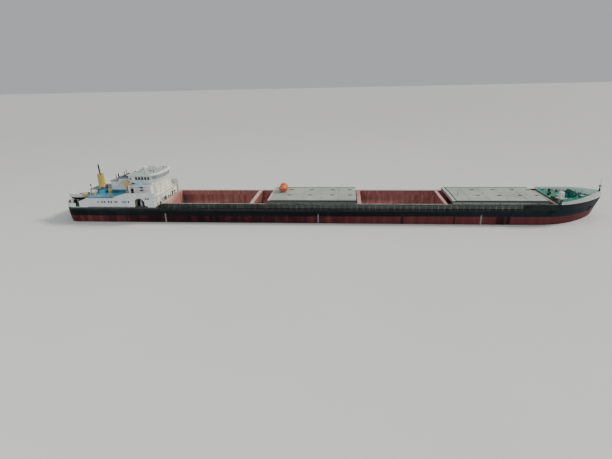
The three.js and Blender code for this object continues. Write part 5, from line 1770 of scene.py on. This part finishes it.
deckSettings = {
    "stays": (-4220, 160, 62),
    "pipes": (
        # y, fore end, finish
        (722, 4600, "coaming"),
        (732, 4400, "rusty"),
        (742, 4200, "topside"),
    ),
    "manholes": (-4000, -3100, -2400, -900, 350, 1900, 3500, 4550),
    "vents": (-2050, -1700, 1050, 3120),
    "bollards": (-3600, -1870, 880, 3000, 4900),
    "endVents": ((-600, 700), (-500, 650), (-300, 740), (-225, 757), (-30, 717), (100, 690), (236, 761),
        (420, 745)),
}


def makeSideDeckGear(s):
    z = decks["main"]
    start, every, count = s["stays"]
    for side, sign in sides:
        stay = Shape("coaming").at(toSide(sign))
        stay.prism([(678, z), (699, z), (694, 655), (678, 655)], "x", start + 2, start + 6)
        cleat = seedBox(start + 60, start + 84, sign * 705.5, sign * 710.5, 662.5, 672)
        clip = seedBox(start + 90, start + 98, sign * 715, sign * 749, z, z + 9)
        for name, seed, number, step in (
                ("coamingStays", stay.seed(), count, every),
                ("coverCleats", cleat, 41, 240),
                ("pipeClips", clip, 19, 480)):
            rows(f"{name}_{side}", seed, number, (step, 0, 0), "coaming", slot="coaming_red")
        gear = Shape("topside").at(toSide(sign))
        gear.box(-4260, 5640, 678, 688, 609, 612.5, "coaming")
        deck = gear.at((0, 0, z))
        for y, end, finish in s["pipes"]:
            deck.tube([(-4200, y, 13), (end, y, 13)], 3.8, finish, sides=6)
        for x in s["manholes"]:
            deck.lathe((x, 775, 0), ((23, 0), (23, 6), (17.5, 7), (0, 7)), sides=18)
            for a, b in circle(20.5, 8):
                deck.rod((x + a, 775 + b, 6), 2.5, 1.7, "steel", sides=6)
        for x in s["vents"]:
            bend = arcPath((x + 11, 735, 70), 11, 180, 0, 8)
            deck.tube([(x, 735, 0), *bend, (x + 22, 735, 60)], 6.2, sides=10)
            deck.lathe((x + 22, 735, 52), ((9.5, 0), (9.5, 9), (6, 9)), sides=12)
        gear.done(f"sideDeckGear_{side}", slot="hull_paint")
        spots = [(x, sign * 755) for x in s["bollards"]]
        makeBollards(f"deckBollards_{side}", spots, z, "topside", "hull_paint")


def makeEndVents(s):  # dark ventilators between the lower house and the first hold
    vents = Shape("black")
    for y, top in s["endVents"]:
        tall = top - decks["main"]
        cap = ((22, tall - 28), (22, tall - 12), (12, tall), (0, tall))
        vents.lathe((-4312, y, decks["main"]), ((16, 0), (12, 6), (12, tall - 30), *cap), sides=14)
    vents.tube([(-4285, -620, 660), (-4285, 620, 660)], 6, "rusty", sides=6)
    vents.done("endVents", slot="black_paint")


makeSideDeckGear(deckSettings)
makeEndVents(deckSettings)
print("holds and side decks fitted")


# Hatch covers with lids, eyes, wheel guards and cleats

hatchSettings = {
    "sets": (
        # name, from, to, how far along its lids lie
        ("aft", -1450, 800, (510, 1050, 1630, 2100)),
        ("fore", 3150, 5400, (730, 1250, 1750, 2160)),
    ),
    "tiers": (
        # name, half breadth, side, middle, how low its end plates reach
        ("lower", 676, 720, 730, 684),
        ("upper", 697, 757, 770, 741),
    ),
    "foot": 680,
    "panels": 5,
    "skirt": 10,
    "lidRows": (-190, 380),
    "latchRows": (-450, -20, 450),
    "eyeRow": 600,
    "post": (225, -190, 150),  # on the fore cover: how far along, y, height
}


def makeCoverTop(s, name, x0, x1, lids, tier, more):
    label, half, side, middle, low = tier
    pitch = (x1 - x0) / s["panels"]

    def crown(y):
        return side + (middle - side) * (1 - abs(y) / half)

    for corner, shift in (("a", 50), ("b", pitch - 50)):
        eye = Shape("steel")
        eye.tube(arcPath((x0 + shift, -s["eyeRow"], crown(s["eyeRow"]) - 1), 9, 0, 180, 6), 2.2, sides=5)
        rows(f"liftEyes_{name}_{label}_{corner}", eye.seed(), s["panels"], (pitch, 0, 0), "steel", across=2,
            acrossStep=(0, 2 * s["eyeRow"], 0), **more)
    top = Shape("cover")
    for y in (2 - half, half - 2):
        top.tube([(x0, y, side), (x1, y, side)], 3.8, sides=6)
    for y in s["lidRows"]:
        for x in lids:
            lid = top.at((x0 + x, y, crown(y)))
            plate = lid.at(Matrix.Diagonal((1, 0.34, 1, 1)))
            plate.lathe((0, 0, -1), ((58, 0), (58, 8), (50, 9.5), (50, 6), (0, 6)), "black")
            lid.tube([(-12, 0, 5), (-12, 0, 11), (12, 0, 11), (12, 0, 5)], 1.4, "steel", sides=5)
    if name == "fore":
        x, y, tall = s["post"]
        top.lathe((x0 + x, y, side), ((12, 0), (12, 14), (5, 17), (4.2, tall), (0, tall)), "black", sides=12)
    for k in range(1, s["panels"]):
        for y in s["latchRows"]:
            latch = top.at((x0 + pitch * k, y, crown(y)))
            latch.rod((0, -20, 5), 40, 4.5, "steel", "y", 8)
            latch.block(0, 0, -1, 18, 18, 3.5)
    top.done(f"coverTop_{name}_{label}", **more)


def makeHatchGear(s):
    foot, panels = s["foot"], s["panels"]
    for name, x0, x1, lids in s["sets"]:
        pitch = (x1 - x0) / panels
        for tier in s["tiers"]:
            label, half, side, middle, low = tier
            more = {"body": f"cover_{name}_{label}", "slot": "cover_grey"}
            ends = Shape("cover")
            wide = half - s["skirt"] + 2
            for x in (x0, x1 - 4):
                outline = [(-wide, low), (wide, low), (wide, side - 8), (0, middle - 8), (-wide, side - 8)]
                ends.prism(outline, "x", x, x + 4)
            for x in (x0 - 3, x1 - 1) if label == "lower" else ():
                for k in range(9):
                    y = k * 150 - 600
                    ends.box(x, x + 4, y - 3, y + 3, foot + 8, side - 12)
            ends.done(f"coverEnds_{name}_{label}", **more)
            x = x0 + pitch / 2
            guard = seedBox(x - 14, x + 14, half - 1, half + 3.5, foot + 8, foot + 26)
            rows(f"wheelGuards_{name}_{label}", guard, panels, (pitch, 0, 0), "black", across=2,
                acrossStep=(0, -2 * half - 2.5, 0), **more)
            if label == "upper":
                stay = seedBox(x0 + 60, x0 + 70, half - 1, half + 3, foot + 30, side - 22)
                rows(f"skirtStays_{name}_{label}", stay, 15, (150, 0, 0), "cover", across=2,
                    acrossStep=(0, -2 * half - 2, 0), **more)
                makeCoverTop(s, name, x0, x1, lids, tier, more)


makeHatchGear(hatchSettings)
print("hatch covers fitted")


# Work boat on its chocks across the after cover

workBoatSettings = {
    "x": -1148,
    "half": 105.2,
    "keel": 800,
    "gunwale": 870,
    "tall": 115,
    "sections": (
        # y, breadth share, keel rise, canopy share
        (-20, 0.22, 52, 0.2),
        (-12, 0.5, 34, 0.42),
        (2, 0.7, 22, 0.58),
        (25, 0.85, 12, 0.72),
        (65, 0.96, 4, 0.9),
        (115, 1.0, 0, 0.99),
        (200, 1.005, 0, 1.0),
        (295, 1.0, 0, 0.99),
        (335, 0.93, 5, 0.9),
        (367, 0.79, 14, 0.74),
        (388, 0.56, 30, 0.5),
        (400, 0.24, 52, 0.2),
    ),
    "hull": ((0, 0), (0.35, 0.05), (0.68, 0.22), (0.88, 0.5), (0.97, 0.8), (1, 1)),
    "canopy": ((0.975, 0.2), (0.9, 0.48), (0.74, 0.74), (0.5, 0.91), (0.25, 0.98), (0, 1)),
    "chocks": (60, 300),
    "foot": 759.3,
    "saddle": ((80, 0), (80, 14), (62, 30), (86, 77.7), (73, 77.7), (50, 52.2), (20, 39.2)),
}


def makeWorkBoat(s):
    boat, z = Shape("orange").at((s["x"], 0, 0)), s["gunwale"]
    rings, rim = [], []
    for y, broad, rise, share in s["sections"]:
        half, keel = s["half"] * broad, s["keel"] + rise
        line = [(half * a, keel + (z - keel) * b) for a, b in s["hull"]]
        line += [(half * a, z + s["tall"] * share * b) for a, b in s["canopy"]]
        rings.append([(a, y, up) for a, up in line] + [(-a, y, up) for a, up in reversed(line[1:-1])])
        rim.append((half, y))
    boat.loft(rings)
    boat.tube([(a, y, z) for a, y in bothHalves(rim, 0)], 5.5, "black", sides=6, closed=True)
    for y, broad, rise, share in s["sections"][3:9]:
        for sign in (-1, 1):
            point = (sign * s["half"] * broad * 0.935, y + 12, z + s["tall"] * share * 0.36)
            boat.at(wallPlace(point, (sign, 0, 0.3))).prism(roundedBox(11, 7, 3), "z", -4, 2.8, "glass")
    boat.prism([(-30, 100), (30, 100), (26, 145), (-26, 145)], "z", 978, 999)
    boat.prism([(-27, 98.5), (27, 98.5), (27, 101), (-27, 101)], "z", 984, 995, "glass")
    for sign in (-1, 1):
        grab = ((160, 966), (165, 984), (290, 983), (295, 964))
        boat.tube([(sign * 45, y, up) for y, up in grab], 1.8, "whiteTrim", sides=6)
        loops = [(sign * s["half"] * 0.985, 30 + k * 26, 853 - 7 * (k % 2)) for k in range(13)]
        boat.tube(loops, 1.4, "rope", sides=5)
    for y, tall in ((30, 958), (362, 956)):
        boat.lathe((0, y, tall - 14), ((6, 0), (6, 12), (3, 16), (0, 17)), "steel", sides=10)
        boat.tube(arcPath((0, y, tall + 8), 6, 0, 300, 8, "yz"), 1.6, "steel", sides=6)
    boat.box(-1.5, 1.5, 398, 412, 812, 868, "black")
    boat.tube([(0, 50, 799), (0, 360, 801)], 2.5, "black", sides=6)
    boat.done("workBoat", "cover_aft_upper", "boat_orange", ["work_boat"], angle=50)
    cradle = Shape("steel").at((s["x"], 0, s["foot"]))
    for y in s["chocks"]:
        cradle.prism(bothHalves(s["saddle"], 0), "y", y + 2, y + 18)
        for sign in (-1, 1):
            lashing = [(sign * x, y + 10, up) for x, up in ((90, 0), (112, 108.7), (98, 145.7))]
            cradle.tube(lashing, 1.4, "rope", sides=5)
            cradle.lathe((sign * 90, y + 10, -1), ((8, 0), (8, 3), (0, 6)), sides=10)
    cradle.box(-60, -40, 70, 310, 0, 26)
    cradle.done("workBoatCradle", "cover_aft_upper", "steel", ["boat_cradle"])


makeWorkBoat(workBoatSettings)
print("work boat made")


# Bow: windlass, chains, bulwark stays, companionway, anchors and fore mast

windlassSettings = {"at": (6185, -20, 695.3), "half": 165, "reach": 145, "drum": 76, "axle": 90, "drums": 80}


def makeChains(s):  # each chain runs from its drum over a stopper to a deck pipe
    link = Shape("black")
    outline = [(a * 11.5 + math.copysign(3, a), b * 6.5, 0) for a, b in circle(1, 10)]
    link.tube(outline, 2.1, sides=6, closed=True)
    piece = bpy.data.objects.new("chainLink", link.seed())
    bpy.context.collection.objects.link(piece)
    for side, sign in sides:
        run = [Vector(s["at"]) + Vector(spot) for spot in (
            (74, sign * 80, s["axle"] + 20), (200, sign * 100, 34), (300, sign * 130, 8))]
        values = {"Link": piece, "Spacing": 17.2 * mm, "Roll": math.pi / 2}
        grow(f"anchorChain_{side}", runOf(run, 20), chainTree, values, "black", slot="black_paint", angle=60)
        gear = Shape("teal").at(s["at"])
        for y in (sign * 100 - 18, sign * 100 + 18):
            gear.block(200, y, 0, 22, 6, 50)
        gear.rod((200, sign * 100 - 26, 21), 52, 8, "steel", "y")
        pipe = ((29, 0), (29, 8), (24, 12), (17.5, 10), (17.5, 1))
        gear.lathe((300, sign * 130, 0), pipe, "black", closed=True)
        gear.done(f"chainStopper_{side}")
    bpy.data.objects.remove(piece)


makeWinch("bowWindlass", windlassSettings, "teal", "windlass_teal", "windlass", "rusty")
makeChains(windlassSettings)


bowSettings = {
    "bollards": ((5800, 640), (5800, -640), (6450, 290), (6450, -290)),
    "vents": ((6010, 420), (6010, -420), (5830, 180)),
    "lockers": (
        # x, y, width, height, finish
        (5690, -660, 50, 40, "rusty"),
        (5700, -470, 40, 75, "black"),
        (5680, -410, 50, 55, "rusty"),
        (5685, -330, 60, 45, "black"),
        (5700, -245, 45, 60, "rusty"),
        (5690, -170, 50, 40, "black"),
        (5830, 260, 60, 50, "black"),
        (5720, 120, 40, 60, "black"),
        (5900, 500, 40, 70, "black"),
    ),
    "stays": (5750, 5900, 6050, 6200, 6350, 6500, 6620),
    "posts": (6000, 6300, 6580),
    "rollers": ((6640, 300), (6400, -20), (6575, 70)),
    "lids": ((5950, -300), (5950, 50), (6500, 0)),
}


def edgeOf(node, x, sign, low, high):  # how far out a node reaches at a station, from its own points
    reach = {}
    for point in [vertex.co / mm for vertex in frame["nodes"][node].data.vertices]:
        if low < point.z < high and point.y * sign > 0:
            station = round(point.x, 1)
            reach[station] = max(reach.get(station, 0), round(abs(point.y), 1))
    aft = max(station for station in reach if station <= x)
    fore = min(station for station in reach if station > x)
    return reach[aft] + (reach[fore] - reach[aft]) * (x - aft) / (fore - aft)


def makeBulwarkStays(s):
    z = decks["forecastle"]
    stays = Shape("foredeckGreen")
    for side, sign in sides:
        for x in s["stays"]:
            y = edgeOf("bow_bulwark", x, sign, z, z + 10) - 11
            rise = 50 + 90 * (x - 5650) / 1100
            outline = [(y, 0), (y - 40, 0), (y - 30, 12), (y - 4, rise * 0.85), (y, rise * 0.9)]
            stays.at((0, 0, z)).at(toSide(sign)).prism(outline, "x", x - 2, x + 2)
        for x in s["posts"]:  # in pairs turned along the bulwark
            aft, fore = (edgeOf("bow_bulwark", x + step, sign, z, z + 10) for step in (-50, 50))
            turn = Matrix.Rotation(math.atan2(sign * (fore - aft), 100), 4, "Z")
            pair = stays.at(Matrix.Translation((x - 12, sign * ((aft + fore) / 2 - 36), z)) @ turn)
            pair.box(-40, 40, -12, 12, 0, 6, "black")
            for dx in (-26, 26):
                pair.lathe((dx, 0, 0), ((8.5, 4), (6.5, 12), (6.5, 30), (9, 34), (0, 36)), "black", sides=12)
    stays.done("bulwarkStays", slot="foredeck_green")


def makeForedeckGear(s):
    z = decks["forecastle"]
    makeBollards("foredeckBollards", s["bollards"], z, "black", "black_paint")
    vents = Shape("foredeckGreen").at((0, 0, z))
    for x, y in s["vents"]:
        mushroom = ((17.5, 0), (17.5, 4), (11.2, 6), (11.2, 46), (20.5, 48), (20.5, 54), (13, 64), (0, 67))
        vents.lathe((x, y, 0), mushroom, sides=18)
    vents.done("foredeckVents", slot="foredeck_green")
    gear = Shape("black").at((0, 0, z))
    for x, y, wide, tall, finish in s["lockers"]:
        gear.block(x, y, 0, wide / 2, wide / 2, tall, finish)
        cap = ((wide * 0.4, 0), (wide * 0.42, 6), (wide * 0.2, 12), (0, 14))
        gear.lathe((x, y, tall), cap, finish, sides=14)
    gear.box(5775, 5875, -400, -200, 0, 22, "cream")
    gear.box(5770, 5880, -405, -195, 22, 28, "cream")
    capstan = ((50, 0), (50, 5), (20, 8), (18, 50), (40, 52), (45, 60), (0, 62))
    gear.lathe((6060, 446, 0), capstan, "rusty")
    gear.tube([(6060, 410, 66), (6060, 490, 66)], 6)
    gear.tube([(6860, 0, 740 - z), (6800, 0, 760 - z), (6700, 0, 699 - z)], 5)
    for x, y in s["rollers"]:
        post = ((17, 0), (17, 6), (10.5, 10), (10.5, 42), (15.5, 46), (15.5, 52), (0, 56))
        gear.lathe((x, y, 0), post, sides=14)
    for x, y in s["lids"]:
        gear.block(x, y, 0, 45, 45, 18, "foredeckGreen")
        gear.block(x, y, 18, 50, 50, 6, "foredeckGreen")
        for dx in (-30, 30):
            gear.rod((x + dx, y - 56, 21), 10, 4, "steel", "y", 8)
    for turn in range(4):
        coil = [(5860 + a, 340 + b, 4.5) for a, b in circle(50 - turn * 8.5, 22)]
        gear.tube(coil, 4, "rope", sides=6, closed=True)
    gear.done("foredeckGear", slot="black_paint")


def makeCompanionway():  # the hooded entry to the forecastle, its door facing aft
    z = decks["forecastle"]
    hood, leaf = Shape("whiteTrim"), Shape()
    profile = [(5672, z + 0.3), (5752, z + 0.3), (5752, 938), (5744, 948), (5680, 952), (5672, 944)]
    hood.prism(profile, "y", -625, -515, "hood")
    hood.box(5666, 5756, -629, -511, 951.5, 955.5)
    hood.tube([(5676, -626, 800), (5750, -626, 800)], 1.8, sides=6)
    for up in (740, 790, 840, 890):
        rung = [(5754, -595, up), (5766, -595, up), (5766, -550, up), (5754, -550, up)]
        hood.tube(rung, 1.6, "steel", sides=5)
    makePorthole(hood, leaf, wallPlace((5712, -625, 880), (0, -1, 0)), 14)
    makeShutDoor(hood, leaf, wallPlace((5672, -570, z + 10), (-1, 0, 0)), 36, 200, "hood", False)
    hood.done("companionHood", replaces=["companionway"])
    leaf.done("companionDoor")


makeBulwarkStays(bowSettings)
makeForedeckGear(bowSettings)
makeCompanionway()


anchorSettings = {
    "at": (6604, 228.5, 452),
    "out": (0.63, 0.73, -0.24),
    "crown": ((27, -47), (31, -35), (13, -26)),
    "fluke": ((18, -42), (34, -37), (32, 4), (26, 19), (18.5, -12)),
}


def makeAnchors(s):  # stowed flat on the bow plating, each shank drawn up into its hawse pipe
    (x, y, z), (ahead, abeam, up) = s["at"], s["out"]
    for side, sign in sides:
        place = wallPlace((x, sign * y, z), (ahead, sign * abeam, up))
        anchor = Shape("black").at(place)
        anchor.prism([(-6.5, -34), (6.5, -34), (4.8, 38), (-4.8, 38)], "z", 4, 15.5)
        anchor.prism(bothHalves(s["crown"], 0), "z", 2, 21)
        for way in (-1, 1):
            anchor.prism([(way * a, b) for a, b in s["fluke"]], "z", 4, 12)
        anchor.tube(arcPath((0, 30, 16), 7, 0, 350, 10, "xy"), 2.2, sides=6)
        anchor.done(f"bowerAnchor_{side}", slot="black_paint", replaces=[f"anchor_{side}"], angle=40)
        pipe = Shape("topside").at(place)
        lip = ((21, -2), (21, 7), (16.5, 12.5), (11.5, 9), (11.5, -2))
        pipe.lathe((0, 44, 0), lip, closed=True, sides=24)
        pipe.done(f"hawsePipe_{side}", slot="hull_paint")


makeAnchors(anchorSettings)


mastSettings = {"fore": (6876, 900), "main": (-4666, 1410.3)}  # x and height of each pivot


def makeForeMast(x, pivot):
    foot, base = Shape("black").at((x, 0, 0)), 695.3
    for sign in (-1, 1):
        foot.prism([(-20, base), (16, base), (13, 916), (-13, 916)], "y", sign * 10.2, sign * 13.8)
    foot.box(-16, 16, -16, 16, base, 740)
    foot.box(-13, 13.5, -10.2, 10.2, 740, 875.5)
    foot.tube([(-100, 0, base), (-16, 0, 810)], 4)
    foot.done("foreMastTable", slot="black_paint", replaces=["fore_mast_foot"])
    mast = Shape("whiteTrim").at((x, 0, 0))
    mast.lathe((0, 0, 885), ((7.8, 0), (8, 6), (6.8, 120), (4.5, 316), (4.2, 321), (0, 322)), sides=14)
    mast.rod((0, -9.5, pivot), 19, 5.8, "steel", "y", 14)
    for z, profile, finish in (
            (938, ((26, 0), (34, 3), (34, 7), (23, 9), (23, 12)), "black"),
            (950, ((22.5, 0), (24, 6), (22.5, 12)), "lampWhite"),
            (962, ((23, 0), (36, 3), (36, 10), (20, 20), (7, 24)), "black")):
        mast.lathe((0, 0, z), profile, finish, sides=18)
    for k in range(3, 9):  # rungs, above the lantern
        mast.tube([(0, -11, 930 + k * 28), (0, 11, 930 + k * 28)], 1.3, sides=5)
    mast.tube([(0, -22, 1130), (0, 22, 1130)], 2.2, sides=6)
    mast.lathe((0, 0, 1200), ((5.2, 0), (6.2, 3), (4, 7), (0, 7.8)), sides=10)
    mast.tube([(8, 0, 900), (6.2, 1, 1190)], 0.9, "black", sides=5)
    mast.done("foreMastPole", "fore_mast", "white_paint", ["fore_mast"])


def makeMainMast(x, pivot):
    mast = Shape("whiteTrim").at((x, 0, pivot))
    mast.lathe((0, 0, -6), ((5.5, 0), (6, 6), (5, 70), (4, 127.5), (0, 128.3)), sides=14)
    mast.rod((0, -9.5, 0), 19, 4.2, "steel", "y")
    mast.lathe((0, -60, 95), ((2.2, 0), (3.2, 50), (3.2, 70), (2.2, 120)), axis="y", sides=10)
    lantern = ((6, 0), (7.5, 1), (7.5, 3), (6, 4.5), (6, 12), (7.5, 13.5), (4.5, 17))
    for z in (32, 62):
        mast.box(0, 8, -3, 3, z, z + 2.5)
        mast.lathe((9.5, 0, z + 0.5), lantern, "black", sides=12)
        mast.lathe((9.5, 0, z + 5), ((6.1, 0), (6.6, 3.7), (6.1, 7.5)), "lampWhite", sides=12)
    for sign in (-1, 1):
        lamp = ((2.8, 0), (4.6, 1), (4.6, 11), (3, 13), (0, 13.5))
        mast.lathe((0, sign * 52, 97.5), lamp, "black", sides=10)
        mast.tube([(0, sign * 58, 95), (0, sign * 6, 118)], 0.8, "black", sides=4)
    mast.done("mastPole", "main_mast", "white_paint", ["main_mast"])


makeForeMast(*mastSettings["fore"])
makeMainMast(*mastSettings["main"])
print("bow and masts fitted")


# Under water: propellers, rudders, anodes and gratings

propellerSettings = {
    "at": (-6400, 400, 108),
    "radius": 92,
    "blades": 4,
    "pitch": 300,
    "hub": 19.5,
    "chord": 50,
    "stations": 9,
}


def bladeRing(s, sign, share):  # a blade's section at a share of the way from hub to tip
    root = s["hub"] * 0.8
    r = root + (s["radius"] - root) * share
    chord = 21 + s["chord"] * math.sin(min(1, share * 1.12) * math.pi * 0.86) ** 0.8 * (1 - share ** 6)
    twist = math.atan2(s["pitch"], math.tau * r) * sign
    thick = 3.6 * (1 - share) + 0.9
    ring = []
    for a, b in circle(1, 12):
        across, deep = chord * 0.5 * a + 8 * share * share, thick * b
        ahead = across * math.sin(twist) + deep * math.cos(twist)
        turn = (across * math.cos(twist) - deep * math.sin(twist)) / r
        ring.append((max(-34, min(34, ahead)), r * math.sin(turn), r * math.cos(turn)))
    return ring


def makePropeller(side, sign, s):
    x, y, z = s["at"]
    hub = s["hub"]
    shape = Shape("bronze").at((x, sign * y, z))
    boss = ((0, 0), (8, 4), (13.5, 14), (17.5, 28), (hub, 44), (hub, 64), (18.5, 75.5), (0, 75.8))
    shape.lathe((-41.5, 0, 0), boss, axis="x", sides=24)
    rings = [bladeRing(s, sign, k / (s["stations"] - 1)) for k in range(s["stations"])]
    for k in range(s["blades"]):
        shape.at(Matrix.Rotation(k * math.tau / s["blades"], 4, "X")).loft(rings)
    shape.done(f"screw_{side}", f"propeller_{side}", "bronze", [f"propeller_{side}"], angle=50)


rudderSettings = {
    "at": (-6560, 400),
    "low": 18,
    "high": 172,
    "ahead": 26,
    "behind": 78,
    "half": 11.8,
    "ribs": (50, 85, 120, 150),
}


def makeRudder(side, sign, s):
    x, y = s["at"]
    low, high, half = s["low"], s["high"], s["half"]
    shape = Shape("strake").at((x, sign * y, 0))

    def foil(z, share):
        points = []
        for i in range(20):
            along = 0.5 - 0.5 * math.cos(i * math.tau / 20)
            thick = half * 2.6 * math.sqrt(along) * (1 - along) ** 0.9 * share
            points.append((s["ahead"] - along * (s["ahead"] + s["behind"]), thick if i < 10 else -thick, z))
        return points

    shape.loft([foil(low, 0.6), foil(low + 4, 1), foil(high - 4, 1), foil(high, 0.7)])
    for face in (-1, 1):
        for z in s["ribs"]:
            shape.tube([(16, face * half * 0.98, z), (-50, face * half * 0.55, z)], 1.2, sides=5)
        shape.block(-17.5, face * 10.5, 98, 12.5, 1.8, 10, "steel")
    shape.lathe((0, 0, high - 2), ((13.5, 0), (13.5, 6), (9, 10), (9, 31.5), (0, 31.6)), sides=18)
    shape.done(f"rudderBlade_{side}", f"rudder_{side}", "hull_paint", [f"rudder_{side}"], angle=50)


for side, sign in sides:
    makePropeller(side, sign, propellerSettings)
    makeRudder(side, sign, rudderSettings)


hullFittingSettings = {
    "anodes": (-5600, -4900, -2600, -400, 1800, 4000),
    "gratings": (-5200, -5000),
    "scuppers": (-4000, 750, 11),
}


def makeHullFittings(s):
    for side, sign in sides:
        start, every, count = s["scuppers"]
        pipe = seedBox(start - 12, start + 12, sign * 819.5, sign * 822.5, 546.5, 555.5)
        rows(f"scuppers_{side}", pipe, count, (every, 0, 0), "topside", slot="hull_paint")
        gear = Shape("steel")
        plating = gear.at(toSide(sign))
        for x in s["anodes"]:
            plating.prism([(x - 35, 120), (x + 35, 120), (x + 30, 134), (x - 30, 134)], "y", 819.5, 826.5)
        for x in s["gratings"]:
            plating.box(x - 30, x + 30, 819.5, 821.5, 90, 150, "black")
            for k in range(6):
                gear.block(x - 26 + k * 10.4, sign * 821.5 + 0.2, 94, 1, 1, 52)
        gear.done(f"underwaterGear_{side}", slot="hull_paint")


makeHullFittings(hullFittingSettings)


# House doors: frame lines and handles on each moving leaf, and a round window on the wheelhouse doors'
# leaves

leafSettings = (
    # node, hinge x, window, finish, slot
    ("house_door", -4962, False, "brown", "door_brown"),
    ("wheelhouse_door", -5018, True, "whiteTrim", "white_paint"),
)


def makeLeafFittings(name, side, sign, hinge, window, finish, slot):
    (x0, y0, z0), (x1, y1, z1) = ([value / mm for value in corner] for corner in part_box(f"{name}_{side}"))
    face = Matrix.Translation((0, y1 if sign > 0 else y0, 0)) @ toSide(sign)
    trims = Shape(finish).at(face)
    for low, high in ((z0 + 12, z0 + 100), (z0 + 112, z1 - 14)):
        outer, hole = ([(x0 + d, low + d - 8), (x1 - d, low + d - 8),
            (x1 - d, high - d + 8), (x0 + d, high - d + 8)] for d in (8, 11))
        trims.ring(outer, hole, "y", -0.44, 2.2)
    if window:
        middle = ((x0 + x1) / 2, 0, z1 - 60)
        trims.lathe(middle, ((15, -2), (15, 2.2), (11.5, 2.2), (11.5, 0)), "whiteTrim", "y", 18)
        trims.lathe(middle, ((11.6, 0), (11.6, 0.8), (0, 0.8)), "glass", "y", 18)
    free, step = (x0, 1) if abs(x1 - hinge) < abs(x0 - hinge) else (x1, -1)
    near, far, up = free + step * 8, free + step * 22, z0 + 108
    for y, out in ((0, 6), (y0 - y1, y0 - y1 - 6)):  # a handle on each face
        grip = [(near, y, up), (near, out, up), (far, out, up)]
        trims.tube(grip, 1.7, "steel", sides=6)
    trims.done(f"{name}Fittings_{side}", f"{name}_{side}", slot)


for name, *form in leafSettings:
    for side, sign in sides:
        makeLeafFittings(name, side, sign, *form)
print("propellers, rudders, hull fittings and door leaves made")
